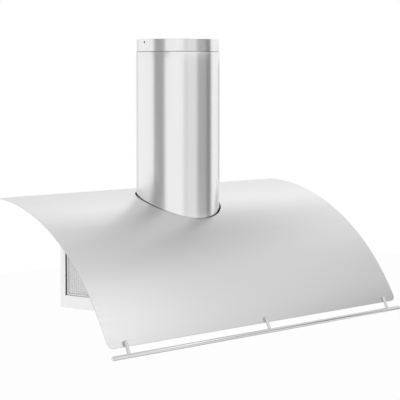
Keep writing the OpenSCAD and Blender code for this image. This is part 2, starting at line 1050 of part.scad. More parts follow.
module scroll_side(side) {
    color(zinc)
        on_shaft()
            mirrored(side, [0, 0, 1])
                translate([0, 0, scroll_w / 2]) {
                    difference() {
                        union() {
                            linear_extrude(panel_t)
                                scroll_outline(panel_t, neck_top_z - axis_z);
                            mount_tabs();
                        }
                        translate([0, 0, -over])
                            cylinder(r = inlet_r + inlet_lip, h = panel_t + 2 * over);
                        mount_tab_holes();
                    }
                    inlet_bell();
                }
}

// Bell mouth: a quarter round that turns from the plate into the inlet
module inlet_bell() {
    rotate_extrude()
        translate([inlet_r + inlet_lip, panel_t - inlet_lip])
            intersection() {
                difference() {
                    circle(r = inlet_lip);
                    circle(r = inlet_lip - panel_t);
                }
                translate([-inlet_lip - over, 0])
                    square(inlet_lip + over);
            }
}

// Places of the rubber mounts along the neck
function mount_ys() = [neck_in + mount_in, scroll_rear - mount_in];

module mount_tabs() {
    z = deck_z - panel_t - mount_h - axis_z;
    for (y = mount_ys())
        block([y - mount_d / 2, z - mount_tab_t, 0], [y + mount_d / 2, z, mount_tab_w]);
}

module mount_tab_holes() {
    z = deck_z - panel_t - mount_h - axis_z;
    for (y = mount_ys())
        translate([y, z + over, panel_t + mount_out])
            rotate([90, 0, 0])
                cylinder(d = screw_d + 2 * hole_slack, h = 2 * over + mount_tab_t);
}

module scroll_side_left() {
    scroll_side(-1);
}

module scroll_side_right() {
    scroll_side(1);
}

// Places of the rubber mounts, at the top of the tabs
module blower_mount_places() {
    for (side = [-1, 1], y = mount_ys())
        translate([side * (scroll_w / 2 + panel_t + mount_out), axis_y + y, deck_z - panel_t - mount_h])
            children();
}

module blower_mounts() {
    color(rubber_black)
        blower_mount_places()
            tube(mount_d / 2, screw_d / 2 + hole_slack, mount_h);
}

module blower_screws() {
    color(zinc)
        blower_mount_places()
            translate([0, 0, -mount_tab_t])
                screw(screw_d, mount_tab_t + mount_h + panel_t - seat_gap);
}

module outlet_gasket() {
    x = scroll_w / 2 + panel_t;
    y0 = axis_y + neck_in - panel_t;
    y1 = axis_y + scroll_rear + panel_t;
    color(rubber_black)
        difference() {
            block([-x - gasket_w, y0 - gasket_w, neck_top_z], [x + gasket_w, y1 + gasket_w, deck_z - panel_t]);
            block([-x + panel_t, y0 + panel_t, neck_top_z - over],
                [x - panel_t, y1 - panel_t, deck_z - panel_t + over]);
        }
}

// Fan wheel with forward-curved blades on a centre disc
module fan_wheel() {
    color(plastic_grey)
        on_shaft()
            difference() {
                union() {
                    translate([0, 0, -wheel_w / 2])
                        linear_extrude(wheel_w)
                            blades();
                    translate([0, 0, -disc_t / 2])
                        cylinder(r = wheel_r - blade_t, h = disc_t);
                    translate([0, 0, -hub_l])
                        cylinder(r = hub_r, h = hub_l);
                    for (side = [-1, 1])
                        translate([0, 0, side * (wheel_w - wheel_ring_t) / 2])
                            wheel_ring();
                }
                cylinder(d = shaft_d + 2 * hole_slack, h = 2 * (hub_l + over), center = true);
            }
}

module wheel_ring() {
    translate([0, 0, -wheel_ring_t / 2])
        tube(wheel_r, wheel_r - wheel_ring_w, wheel_ring_t);
}

module blades() {
    intersection() {
        difference() {
            circle(r = wheel_r - blade_t / 2);
            circle(r = wheel_r - blade_depth);
        }
        for (i = [0:blade_n - 1])
            rotate(i * 360 / blade_n)
                translate([wheel_r - blade_set_in, 0])
                    intersection() {
                        difference() {
                            circle(r = blade_r, $fn = 48);
                            circle(r = blade_r - blade_t, $fn = 48);
                        }
                        translate([-blade_r - over, 0])
                            square([2 * (blade_r + over), blade_r + over]);
                    }
    }
}

module motor_shaft() {
    color(steel)
        on_shaft()
            translate([0, 0, -hub_l - over / 2])
                cylinder(d = shaft_d, h = hub_l + over / 2 + motor_gap + motor_l / 2);
}

// Motor inside the wheel's right half: a can with rounded ends and a stepped nose
module motor() {
    r = motor_d / 2;
    color(plastic_black)
        on_shaft()
            translate([0, 0, motor_gap])
                difference() {
                    union() {
                        rotate_extrude()
                            motor_profile(r);
                        for (i = [1:motor_rib_n])
                            rotate(i * 360 / motor_rib_n)
                                block([r / 2, -motor_rib_t / 2, motor_l - motor_cap_r / 2],
                                    [r - motor_cap_r, motor_rib_t / 2, motor_l + motor_rib_t / 2]);
                    }
                    translate([0, 0, -over])
                        cylinder(d = shaft_d + 2 * running_slack, h = motor_l / 2 + over + hole_slack);
                }
}

module motor_profile(r) {
    square([r - motor_cap_r, motor_l]);
    translate([0, motor_cap_r])
        square([r, motor_l - 2 * motor_cap_r]);
    for (y = [motor_cap_r, motor_l - motor_cap_r])
        translate([r - motor_cap_r, y])
            circle(r = motor_cap_r);
}

// Band round the motor, with three arms to the right side plate
module motor_bracket() {
    face = scroll_w / 2 + panel_t;
    low = motor_gap + motor_l - motor_cap_r - 2 * bracket_ring_w;
    r = motor_d / 2 + hole_slack;
    arm_r = inlet_r + inlet_lip + bracket_arm_w / 2;
    color(zinc)
        on_shaft()
            difference() {
                union() {
                    translate([0, 0, low])
                        cylinder(r = r + bracket_t, h = face + bracket_t - low);
                    for (a = [90:120:330])
                        rotate(a) {
                            block([0, -bracket_arm_w / 2, face], [arm_r, bracket_arm_w / 2, face + bracket_t]);
                            translate([arm_r, 0, face])
                                cylinder(d = bracket_arm_w, h = bracket_t);
                        }
                }
                cylinder(r = r, h = scroll_w);
            }
}

// Electrical pieces on the deck

module terminal_box() {
    low = [terminal_x - terminal_w / 2, terminal_y - terminal_d / 2, deck_z];
    size = [terminal_w, terminal_d, terminal_h];
    wall = [terminal_wall, terminal_wall, terminal_wall];
    color(plastic_black)
        difference() {
            block(low, low + size);
            block(low + wall, low + size - [terminal_wall, terminal_wall, -over]);
            translate([terminal_x, -terminal_back + over, gland_z])
                rotate([90, 0, 0])
                    cylinder(d = cable_d + 2 * terminal_wall + 2 * hole_slack, h = 2 * over);
        }
}

module terminal_cover() {
    low = [terminal_x - terminal_w / 2, terminal_y - terminal_d / 2, deck_z + terminal_h];
    lip = 2 * terminal_wall + hole_slack;
    color(plastic_black) {
        block(low, low + [terminal_w, terminal_d, terminal_wall]);
        block(low + [lip, lip, -terminal_wall], low + [terminal_w - lip, terminal_d - lip, 0]);
    }
}

// Three-way screw terminal on the box's floor
module terminal_block() {
    color(plastic_white)
        translate([terminal_x, terminal_y - terminal_wall, deck_z + terminal_wall])
            difference() {
                block([-3 * way_w / 2, -way_d / 2, 0], [3 * way_w / 2, way_d / 2, way_h]);
                for (i = [-1:1]) {
                    translate([i * way_w, 0, way_h / 2])
                        cylinder(d = way_w / 2, h = way_h, $fn = 32);
                    translate([i * way_w, 0, way_h * wire_share])
                        rotate([90, 0, 0])
                            cylinder(d = way_w * wire_share, h = way_d + over, center = true, $fn = 32);
                }
            }
}

module cable_gland() {
    color(plastic_black)
        translate([terminal_x, -terminal_back, gland_z])
            rotate([-90, 0, 0])
                difference() {
                    union() {
                        translate([0, 0, -2 * terminal_wall])
                            cylinder(d = cable_d + 2 * terminal_wall, h = 3 * terminal_wall);
                        cylinder(d = gland_d + terminal_wall, h = gland_l / 2, $fn = 6);
                        translate([0, 0, gland_l / 2])
                            cylinder(d1 = gland_d, d2 = gland_d - terminal_wall, h = gland_l / 2);
                    }
                    translate([0, 0, -over])
                        cylinder(d = cable_d, h = gland_l + 2 * over);
                }
}

module motor_capacitor() {
    color(plastic_white)
        translate([-terminal_x, terminal_y, deck_z])
            rotate_extrude() {
                square([capacitor_d / 2, capacitor_h - terminal_wall]);
                square([capacitor_d / 2 - terminal_wall, capacitor_h]);
            }
}

module lamp_driver() {
    x = foot_out_r + driver_gap + driver_d / 2;
    y = terminal_y - capacitor_d / 2 - driver_gap - driver_w / 2;
    foot = driver_w * driver_foot_share;
    color(plastic_white)
        translate([x, y, deck_z]) {
            block([-driver_d / 2, -driver_w / 2, 0], [driver_d / 2, driver_w / 2, terminal_wall]);
            block([-driver_d / 2, -driver_w / 2 + foot, 0], [driver_d / 2, driver_w / 2 - foot, driver_h]);
        }
}

// Controls

module rounded(l, w, r) {
    for (x = [-1, 1], y = [-1, 1])
        translate([x * (l / 2 - r), y * (w / 2 - r)])
            circle(r = r, $fn = 32);
    square([l - 2 * r, w], center = true);
    square([l, w - 2 * r], center = true);
}

module control_fascia() {
    color(plastic_black)
        translate([0, fascia_y, floor_z - fascia_t])
            linear_extrude(fascia_t)
                difference() {
                    rounded(fascia_l, fascia_w, fascia_corner);
                    for (i = [0:button_n - 1])
                        translate([button_x(i), 0])
                            circle(d = button_d + 4 * hole_slack);
                }
}

// Place of button i along the fascia
function button_x(i) = (i - (button_n - 1) / 2) * button_pitch;

// Tray over the buttons, with the switches' shelf above their stems
module switch_housing() {
    shelf = button_stem_l + button_travel + 2 * hole_slack;
    color(plastic_grey)
        translate([0, fascia_y, floor_z])
            difference() {
                block([-housing_l / 2, -housing_w / 2, panel_t], [housing_l / 2, housing_w / 2, housing_h]);
                block([-housing_l / 2 + housing_wall, -housing_w / 2 + housing_wall, 0],
                    [housing_l / 2 - housing_wall, housing_w / 2 - housing_wall, shelf]);
            }
}

module button(i) {
    r = button_d / 2;
    color(steel)
        translate([button_x(i), fascia_y, floor_z - fascia_t - button_out])
            rotate_extrude() {
                translate([0, button_edge_r])
                    square([r, button_out + fascia_t - button_edge_r + hole_slack]);
                square([r - button_edge_r, button_out]);
                intersection() {
                    translate([r - button_edge_r, button_edge_r])
                        circle(r = button_edge_r);
                    square([r, button_out]);
                }
                translate([0, button_out + fascia_t + hole_slack / 2])
                    square([r + button_flange_w, button_flange_t]);
                translate([0, button_out + fascia_t])
                    square([button_stem_d / 2, button_stem_l]);
            }
}

module button_off() {
    button(0);
}

module button_low() {
    button(1);
}

module button_mid() {
    button(2);
}

module button_high() {
    button(3);
}

module button_lamp() {
    button(4);
}

// Lamps

module at_lamps() {
    for (side = [-1, 1])
        translate([side * lamp_x, lamp_y, floor_z])
            children();
}

module lamp_housings() {
    r = lens_d / 2 + hole_slack + lamp_sleeve_t;
    color(zinc)
        at_lamps() {
            translate([0, 0, lens_t - lens_in])
                cylinder(r = lens_d / 2 - lamp_sleeve_t, h = lamp_sleeve_h);
            translate([0, 0, lamp_sleeve_h])
                cylinder(r = r, h = lamp_h / 2 - lamp_sleeve_h);
            for (i = [0:fin_n - 1])
                intersection() {
                    translate([0, 0, lamp_h / 2 - fin_t])
                        cylinder(r = r, h = lamp_h / 2);
                    translate([(i - (fin_n - 1) / 2) * 2 * r / fin_n, 0, lamp_h / 2])
                        cube([fin_t, 2 * r, lamp_h], center = true);
                }
        }
}

module lamp_rings() {
    r = lens_d / 2 + hole_slack;
    color(steel)
        at_lamps() {
            translate([0, 0, -lamp_ring_t])
                difference() {
                    cylinder(r1 = r + lamp_ring_w - lamp_ring_t / 2, r2 = r + lamp_ring_w, h = lamp_ring_t);
                    translate([0, 0, -over])
                        cylinder(r = r, h = lamp_ring_t + 2 * over);
                }
            tube(r + lamp_sleeve_t, r, lamp_sleeve_h);
        }
}

module lamp_lenses() {
    color(glass_white)
        at_lamps()
            translate([0, 0, -lens_in])
                cylinder(d = lens_d, h = lens_t);
}

// Rail below the front edge

function post_places() = [for (side = [-1:1]) side * (canopy_w / 2 - post_inset)];

// Rail's frame: its axis along x, in the edge frame
module at_rail() {
    at_edge()
        translate([0, -post_r - post_off, -post_reach])
            children();
}

module utensil_rail() {
    color(steel)
        at_rail()
            rotate([0, 90, 0])
                cylinder(d = rail_d, h = canopy_w - 2 * rail_cap_t, center = true);
}

module rail_end_caps() {
    color(steel)
        at_rail()
            for (side = [-1, 1])
                translate([side * (canopy_w / 2 - rail_cap_t), 0, 0])
                    rotate([0, side * 90, 0])
                        rail_cap();
}

// Low dome on the rail's end
module rail_cap() {
    rotate_extrude() {
        square([rail_r, rail_cap_t / 2]);
        square([rail_r - rail_cap_t / 2, rail_cap_t]);
        intersection() {
            translate([rail_r - rail_cap_t / 2, rail_cap_t / 2])
                circle(r = rail_cap_t / 2);
            square([rail_r, rail_cap_t]);
        }
    }
}

// Round post with a domed end, coped to the rail
module rail_post(x) {
    color(steel)
        at_edge()
            translate([x, -post_r - post_off, 0])
                difference() {
                    union() {
                        translate([0, 0, -post_reach])
                            cylinder(r = post_r, h = post_reach + post_grip - post_r);
                        translate([0, 0, post_grip - post_r])
                            sphere(r = post_r);
                    }
                    translate([0, 0, -post_reach])
                        rotate([0, 90, 0])
                            cylinder(r = rail_r + post_off, h = post_d + 2 * over, center = true);
                    translate([0, post_r + over - post_screw_in, post_grip / 2])
                        rotate([-90, 0, 0])
                            translate([0, 0, -over])
                                cylinder(d = post_screw_d + 2 * hole_slack, h = 2 * over);
                }
}

module rail_post_left() {
    rail_post(post_places()[0]);
}

module rail_post_centre() {
    rail_post(post_places()[1]);
}

module rail_post_right() {
    rail_post(post_places()[2]);
}

// Screws from behind the canopy into the posts
module rail_screws() {
    color(zinc)
        for (x = post_places())
            at_edge()
                translate([x, canopy_t + seat_gap, post_grip / 2])
                    rotate([90, 0, 0])
                        screw(post_screw_d, canopy_t + seat_gap + post_screw_in - hole_slack);
}

canopy();
wall_angle();
back_panel();
side_panel_left();
side_panel_right();
front_panel();
floor_panel();
top_deck();
floor_screws();
cable_bush();
filter_frame_left();
filter_net_left();
filter_core_left();
filter_pull_left();
filter_frame_right();
filter_net_right();
filter_core_right();
filter_pull_right();
chimney_lower();
chimney_upper();
chimney_foot();
ceiling_ring();
foot_screws();
duct_collar();
collar_screws();
damper_pin();
damper_flap_front();
damper_flap_rear();
scroll_band();
scroll_side_left();
scroll_side_right();
outlet_gasket();
blower_mounts();
blower_screws();
fan_wheel();
motor_shaft();
motor();
motor_bracket();
terminal_box();
terminal_cover();
terminal_block();
cable_gland();
motor_capacitor();
lamp_driver();
control_fascia();
switch_housing();
button_off();
button_low();
button_mid();
button_high();
button_lamp();
lamp_housings();
lamp_rings();
lamp_lenses();
utensil_rail();
rail_end_caps();
rail_post_left();
rail_post_centre();
rail_post_right();
rail_screws();
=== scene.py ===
"""Wall hood with a curved sheet canopy and a round telescoping chimney: its looks.

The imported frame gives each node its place. Nodes whose shape is right are dressed, and
finer surfaces stand for the others: the canopy sheet, the chimney's two tubes, the rail
with its posts, the woven filters and their ring pulls, the lamps, the push buttons and
most of the screws. All lengths are in metres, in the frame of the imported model.
"""

import logging
import math
from dataclasses import dataclass, field
from enum import Enum
from typing import NamedTuple

import bmesh
import bpy
import numpy as np
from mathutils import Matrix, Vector


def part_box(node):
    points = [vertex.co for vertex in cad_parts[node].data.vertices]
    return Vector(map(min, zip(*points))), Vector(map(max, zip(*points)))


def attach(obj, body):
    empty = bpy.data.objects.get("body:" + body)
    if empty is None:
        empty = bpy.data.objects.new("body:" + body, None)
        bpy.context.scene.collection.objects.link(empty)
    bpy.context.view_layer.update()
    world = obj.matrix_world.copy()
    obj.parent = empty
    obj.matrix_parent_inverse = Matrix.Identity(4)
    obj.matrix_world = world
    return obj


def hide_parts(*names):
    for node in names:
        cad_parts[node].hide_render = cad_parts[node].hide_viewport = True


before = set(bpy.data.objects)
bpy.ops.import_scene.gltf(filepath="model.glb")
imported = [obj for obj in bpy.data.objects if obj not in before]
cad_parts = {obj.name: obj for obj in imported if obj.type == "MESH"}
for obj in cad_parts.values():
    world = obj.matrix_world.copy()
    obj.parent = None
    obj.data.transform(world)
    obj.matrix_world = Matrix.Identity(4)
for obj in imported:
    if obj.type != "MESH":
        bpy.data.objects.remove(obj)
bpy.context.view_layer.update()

LOG = logging.getLogger("hood")

Array = np.ndarray
Material = bpy.types.Material
Object = bpy.types.Object
Socket = bpy.types.NodeSocket
Plan = tuple[float, float]
Point = tuple[float, float, float]
Place = tuple[Point, Point]
Stay = dict["Slot", tuple[str, ...]]

SLANT = math.radians(22.0)  # turn of the box's side faces away from straight back
CHIMNEY_Y = -0.1375  # axis of the chimney and the air outlet
FLOOR_Z = -0.139961  # underside of the floor panel
MERGE = 1e-7  # points closer than this are one
TINY = 1e-12  # sines and cosines smaller than this are nothing


class Body(str, Enum):
    """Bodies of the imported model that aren't named after a side or a button."""

    HOOD = "hood"
    CHIMNEY_SLIDE = "chimney_slide"


class Side(Enum):
    """Side of the hood, seen from the front, with the sign of its x."""

    LEFT = -1
    RIGHT = 1

    @property
    def word(self) -> str:
        """The side's name, as node names end."""
        return self.name.lower()


class Slot(str, Enum):
    """Material slots of the record."""

    CANOPY = "canopy_steel"
    CHIMNEY = "chimney_steel"
    BOX = "box_steel"
    RAIL = "rail_steel"
    INNER = "inner_steel"
    SCREW = "screw_steel"
    FILTER = "filter_steel"
    NET = "net_metal"
    CORE = "core_metal"
    PULL = "pull_steel"
    RUBBER = "black_rubber"
    WHEEL = "wheel_plastic"
    MOTOR = "motor_black"
    BLACK = "black_plastic"
    WHITE = "white_plastic"
    GREY = "grey_plastic"
    BUTTON = "button_steel"
    LENS = "lens_glass"


def grey(level: float) -> Point:
    """A neutral colour."""
    return (level, level, level)


class Tree:
    """The node tree of a material or a world, with short calls to add and join nodes."""

    def __init__(self, owner: Material | bpy.types.World) -> None:
        """Empties the owner's tree."""
        owner.use_nodes = True
        self.owner = owner
        self.nodes, self.links = owner.node_tree.nodes, owner.node_tree.links
        self.nodes.clear()

    def add(self, kind: str, **values: object) -> bpy.types.Node:
        """Adds a node.

        Args:
            kind: Blender's name of the node.
            values: properties of the node, or input sockets by name with spaces as _.

        Returns:
            The node.
        """
        node = self.nodes.new(kind)
        for key, value in values.items():
            if hasattr(node, key) and key.islower():
                setattr(node, key, value)
            else:
                node.inputs[key.replace("_", " ")].default_value = value
        return node

    def join(self, source: Socket | float, target: Socket) -> None:
        """Links an output to an input, or writes a number into it."""
        if isinstance(source, float):
            target.default_value = source
        else:
            self.links.new(source, target)

    def maths(self, operation: str, *terms: Socket | float) -> Socket:
        """The result of a maths node."""
        node = self.add("ShaderNodeMath", operation=operation)
        for term, target in zip(terms, node.inputs):
            self.join(term, target)
        return node.outputs[0]

    def ranged(self, value: Socket, low: float, high: float, start: float = 0.3,
               end: float = 0.7, kind: str = "LINEAR") -> Socket:
        """A value from start to end, mapped to low to high."""
        node = self.add("ShaderNodeMapRange", interpolation_type=kind, From_Min=start,
                        From_Max=end, To_Min=low, To_Max=high)
        self.join(value, node.inputs["Value"])
        return node.outputs["Result"]

    def seen(self) -> Socket:
        """One to rays from the camera, from mirrors and through glass, else nothing."""
        rays = self.add("ShaderNodeLightPath").outputs
        looks = self.maths("MAXIMUM", rays["Is Camera Ray"], rays["Is Glossy Ray"])
        return self.maths("MAXIMUM", looks, rays["Is Transmission Ray"])

    def mixed(self, output: str, share: Socket, *ends: bpy.types.Node) -> None:
        """Ends the tree in a mix of two shaders, the second where share is one."""
        mix = self.add("ShaderNodeMixShader")
        for source, target in zip((share, *(end.outputs[0] for end in ends)), mix.inputs):
            self.join(source, target)
        self.join(mix.outputs[0], self.add(output).inputs["Surface"])

    def glowing(self, level: float, strength: Socket | float = 1.0) -> None:
        """Ends a material's tree in a grey glow."""
        glow = self.add("ShaderNodeEmission", Color=(*grey(level), 1.0))
        self.join(strength, glow.inputs["Strength"])
        self.join(glow.outputs[0], self.add("ShaderNodeOutputMaterial").inputs["Surface"])


class Graph(Tree):
    """A new material's tree, which ends in one Principled shader."""

    def __init__(self, name: str) -> None:
        """Starts with the shader, the output and the object's coordinates."""
        super().__init__(bpy.data.materials.new(name))
        self.shader = self.add("ShaderNodeBsdfPrincipled")
        output = self.add("ShaderNodeOutputMaterial")
        self.join(self.shader.outputs["BSDF"], output.inputs["Surface"])
        self.place = self.add("ShaderNodeTexCoord").outputs["Object"]

    def noise(self, scale: Point, detail: float = 2.0, rough: float = 0.5) -> Socket:
        """Noise on the object's coordinates, scaled along each axis."""
        mapping = self.add("ShaderNodeMapping", Scale=scale)
        self.join(self.place, mapping.inputs["Vector"])
        node = self.add("ShaderNodeTexNoise", Scale=1.0, Detail=detail, Roughness=rough)
        self.join(mapping.outputs["Vector"], node.inputs["Vector"])
        return node.outputs["Fac"]

    def cells(self, output: str, **values: object) -> Socket:
        """An output of a cell pattern on the object's coordinates."""
        node = self.add("ShaderNodeTexVoronoi", **values)
        self.join(self.place, node.inputs["Vector"])
        return node.outputs[output]

    def tint(self, colour: Point, factor: Socket) -> None:
        """Base colour: a colour times a factor that varies over the surface."""
        node = self.add("ShaderNodeVectorMath", operation="SCALE")
        node.inputs[0].default_value = colour
        self.join(factor, node.inputs["Scale"])
        self.join(node.outputs[0], self.shader.inputs["Base Color"])

    def bump(self, height: Socket, depth: float) -> None:
        """Bump of the given depth in metres."""
        node = self.add("ShaderNodeBump", Distance=depth)
        self.join(height, node.inputs["Height"])
        self.join(node.outputs["Normal"], self.shader.inputs["Normal"])

    def set(self, **values: object) -> None:
        """Sets the shader's own sockets, named with spaces as _."""
        for key, value in values.items():
            self.shader.inputs[key.replace("_", " ")].default_value = value


ALONG_X = (3.0, 420.0, 420.0)
ALONG_Z = (420.0, 420.0, 3.0)


@dataclass(frozen=True)
class Finish:
    """A finish: its colour, how shiny it is, and how much both vary."""

    name: str
    colour: Point
    roughness: float
    spread: float = 0.04

    def material(self) -> Material:
        """The finish's material, made once."""
        found = bpy.data.materials.get(self.name)
        if found is not None and found.get("dressed"):
            return found
        graph = Graph(self.name)
        graph.set(Roughness=self.roughness)
        self.paint(graph)
        graph.owner["dressed"] = True
        return graph.owner

    def tone(self, graph: Graph, value: Socket, start: float = 0.3, end: float = 0.7) -> None:
        """Darkens the colour by up to the spread, as a value goes down from end to start."""
        graph.tint(self.colour, graph.ranged(value, 1.0 - self.spread, 1.0, start, end))

    def shine(self, graph: Graph, value: Socket, low: float = 0.8, high: float = 1.2) -> None:
        """Varies the roughness between two shares of itself."""
        rough = graph.ranged(value, self.roughness * low, self.roughness * high)
        graph.join(rough, graph.shader.inputs["Roughness"])

    def paint(self, graph: Graph) -> None:
        """Fills the material's tree."""
        raise NotImplementedError


@dataclass(frozen=True)
class Brushed(Finish):
    """Stainless sheet, brushed along one axis: long streaks, faint clouds, a fine grain."""

    grain: Point = ALONG_X
    depth: float = 0.000012
    streak: float = 0.2
    cloud: float = 9.0

    def paint(self, graph: Graph) -> None:
        """Streaks in colour and roughness, clouds of a hand's breadth, and a shallow grain."""
        graph.set(Metallic=1.0)
        grain = graph.noise(self.grain, detail=3.0)
        streaks = graph.noise(tuple(a * self.streak for a in self.grain))
        clouds = graph.noise((self.cloud,) * 3)
        graph.tint(self.colour, graph.maths(
            "MULTIPLY", graph.ranged(streaks, 1.0 - self.spread, 1.0),
            graph.ranged(clouds, 1.0 - self.spread / 2, 1.0)))
        self.shine(graph, grain, 0.9, 1.1)
        graph.bump(grain, self.depth)


@dataclass(frozen=True)
class Galvanised(Finish):
    """Zinc-plated sheet with a faint spangle."""

    spangle: float = 160.0
    metallic: float = 0.9
    cloud: float = 40.0
    depth: float = 0.00003

    def paint(self, graph: Graph) -> None:
        """Flat crystals of slightly different tone, under a fine cloudy roughness."""
        graph.set(Metallic=self.metallic)
        crystals = graph.cells("Color", Scale=self.spangle, Randomness=1.0)
        self.tone(graph, crystals, 0.0, 1.0)
        clouds = graph.noise((self.cloud,) * 3, detail=3.0)
        self.shine(graph, clouds)
        graph.bump(clouds, self.depth)


@dataclass(frozen=True)
class Moulded(Finish):
    """Moulded plastic, rubber or paint with a fine eroded texture."""

    texture: float = 900.0
    depth: float = 0.00004
    coat: float = 0.0
    cloud: float = 25.0

    def paint(self, graph: Graph) -> None:
        """An eroded grain in the height, and a slow drift in tone and shine."""
        graph.set(Specular_IOR_Level=0.4, Coat_Weight=self.coat)
        grain = graph.noise((self.texture,) * 3, rough=0.6)
        drift = graph.noise((self.cloud,) * 3)
        self.tone(graph, drift)
        self.shine(graph, drift, 0.9, 1.1)
        graph.bump(grain, self.depth)


@dataclass(frozen=True)
class Knitted(Finish):
    """Layers of knitted metal: loops in rows, with painted shade in the holes between them."""

    loop: float = 0.0035
    second: float = 1.7
    depth: float = 0.0006

    def paint(self, graph: Graph) -> None:
        """Crumpled loops from two cell patterns, deep in tone and height; the tone is painted
        shade, darker in the holes between the wires.
        """
        graph.set(Metallic=1.0)
        edges = (graph.cells("Distance", Scale=scale / self.loop, feature="DISTANCE_TO_EDGE")
                 for scale in (1.0, self.second))
        both = graph.maths("MULTIPLY", *(graph.ranged(e, 1.0, 0.45, 0.0, 0.25) for e in edges))
        # Painted shade: the tone is darkest in each cell's middle, the hole between wires.
        self.tone(graph, both, 0.2, 0.8)
        graph.bump(both, self.depth)


@dataclass(frozen=True)
class Frosted(Finish):
    """Frosted glass that lets light through."""

    clear: float = 0.45
    etching: float = 1800.0
    depth: float = 0.00002

    def paint(self, graph: Graph) -> None:
        """A fine etch over a milky body."""
        graph.set(Transmission_Weight=self.clear, IOR=1.5)
        etch = graph.noise((self.etching,) * 3)
        self.tone(graph, etch)
        graph.bump(etch, self.depth)


@dataclass(frozen=True)
class Turned(Finish):
    """Metal faced on a lathe, whose fine lines run across the face."""

    lines: Point = (2600.0, 60.0, 60.0)
    depth: float = 0.00001

    def paint(self, graph: Graph) -> None:
        """Fine lines in tone, shine and height."""
        graph.set(Metallic=1.0)
        lines = graph.noise(self.lines)
        self.tone(graph, lines)
        self.shine(graph, lines, 0.8, 1.25)
        graph.bump(lines, self.depth)


FINISHES: dict[Slot, Finish] = {
    Slot.CANOPY: Brushed("satin_canopy_sheet", grey(0.82), 0.33, 0.012, depth=0.0000008),
    Slot.CHIMNEY: Brushed("satin_chimney_tube", grey(0.87), 0.22, 0.02, ALONG_Z, 0.000006),
    Slot.BOX: Brushed("satin_box_panel", grey(0.94), 0.32, 0.012, ALONG_Z),
    Slot.RAIL: Brushed("satin_rail_bar", grey(0.80), 0.26, 0.02),
    Slot.INNER: Galvanised("zinc_sheet", (0.62, 0.63, 0.64), 0.42, 0.14),
    Slot.SCREW: Galvanised("zinc_screw", (0.66, 0.67, 0.68), 0.28, 0.08, spangle=900.0),
    Slot.FILTER: Brushed("filter_rim_sheet", grey(0.78), 0.32, 0.05, ALONG_Z),
    Slot.NET: Galvanised("woven_wire", grey(0.97), 0.36, 0.04, spangle=500.0),
    # The core's spread is how dark its painted shade in the holes goes.
    Slot.CORE: Knitted("knitted_wire", grey(0.93), 0.45, 0.20),
    Slot.PULL: Brushed("bright_wire", grey(0.72), 0.22, 0.04, ALONG_Z),
    Slot.RUBBER: Moulded("black_rubber_skin", (0.020, 0.020, 0.021), 0.70, 0.20),
    Slot.WHEEL: Moulded("wheel_moulding", (0.075, 0.078, 0.085), 0.45, 0.12),
    Slot.MOTOR: Moulded("motor_paint", (0.018, 0.018, 0.019), 0.38, 0.15, 500.0, coat=0.15),
    Slot.BLACK: Moulded("black_moulding", (0.022, 0.022, 0.024), 0.48, 0.15),
    Slot.WHITE: Moulded("white_moulding", (0.66, 0.66, 0.63), 0.45, 0.05),
    Slot.GREY: Moulded("grey_moulding", (0.22, 0.225, 0.235), 0.50, 0.08),
    Slot.BUTTON: Turned("turned_steel", grey(0.76), 0.24, 0.05),
    Slot.LENS: Frosted("frosted_lens", (0.90, 0.91, 0.91), 0.42, 0.04),
}


def linked(name: str, data: bpy.types.ID) -> Object:
    """A new object of the scene."""
    made = bpy.data.objects.new(name, data)
    bpy.context.scene.collection.objects.link(made)
    return made


def stacked(*parts: Array | float) -> Array:
    """Points from their coordinates, each of which is spread over the shape of them all."""
    return np.stack(np.broadcast_arrays(*parts), axis=-1)


def wrapped_quads(rows: int, columns: int, closed: bool = False) -> Array:
    """Quads of a grid of points whose columns wrap.

    Args:
        rows: number of rows of points.
        columns: number of points in a row.
        closed: joins the last row to the first.

    Returns:
        An array of four point numbers a quad.
    """
    r = np.arange(rows if closed else rows - 1)[:, None]
    c = np.arange(columns)[None, :]
    down, right = (r + 1) % rows, (c + 1) % columns
    corners = (r * columns + c, r * columns + right, down * columns + right, down * columns + c)
    return stacked(*corners).reshape(-1, 4)


@dataclass
class Shell:
    """Points and quads that grow piece by piece into one mesh."""

    points: list[Array] = field(default_factory=list)
    faces: list[Array] = field(default_factory=list)
    count: int = 0

    def grid(self, points: Array, closed: bool = False) -> "Shell":
        """Adds rows of points that wrap round, closed from the last row to the first or not."""
        quads = wrapped_quads(*points.shape[:2], closed)
        return self.loose(points.reshape(-1, 3), quads)

    def loose(self, points: Array, faces: Array) -> "Shell":
        """Adds points and the quads among them."""
        self.points.append(points)
        self.faces.append(faces + self.count)
        self.count += len(points)
        return self

    def made(self, name: str, sharp: float = 35.0) -> Object:
        """Makes the object: doubles merged, faces outward, edges over the sharp angle kept.

        Args:
            name: the object's name.
            sharp: least angle between faces, in degrees, of an edge that stays sharp.

        Returns:
            The new object, at the origin.
        """
        mesh = bpy.data.meshes.new(name)
        points, faces = np.concatenate(self.points), np.concatenate(self.faces)
        mesh.from_pydata(points.tolist(), [], faces.tolist())
        work = bmesh.new()
        work.from_mesh(mesh)
        bmesh.ops.remove_doubles(work, verts=work.verts, dist=MERGE)
        bmesh.ops.dissolve_degenerate(work, edges=work.edges, dist=MERGE)
        bmesh.ops.recalc_face_normals(work, faces=work.faces)
        work.to_mesh(mesh)
        work.free()
        mesh.shade_smooth()
        mesh.set_sharp_from_angle(angle=math.radians(sharp))
        return linked(name, mesh)


def arc_points(centre: Plan, radius: float, start: float, end: float, count: int) -> Array:
    """Points on a plane arc, centre plus radius times (cos, sin), from start to end degrees."""
    angles = np.radians(np.linspace(start, end, count))
    return stacked(centre[0] + radius * np.cos(angles), centre[1] + radius * np.sin(angles))


def turned(profile: Array, angles: Array, foot: Point = (0.0, 0.0, 0.0)) -> Array:
    """Surface of revolution about an upright axis: foot plus (r cos a, r sin a, z).

    Args:
        profile: points (r, z).
        angles: angles in radians.
        foot: where the axis stands.

    Returns:
        A grid of points, one row for each profile point.
    """
    r, z = profile[:, :1], profile[:, 1:]
    return stacked(r * np.cos(angles), r * np.sin(angles), z) + np.asarray(foot)


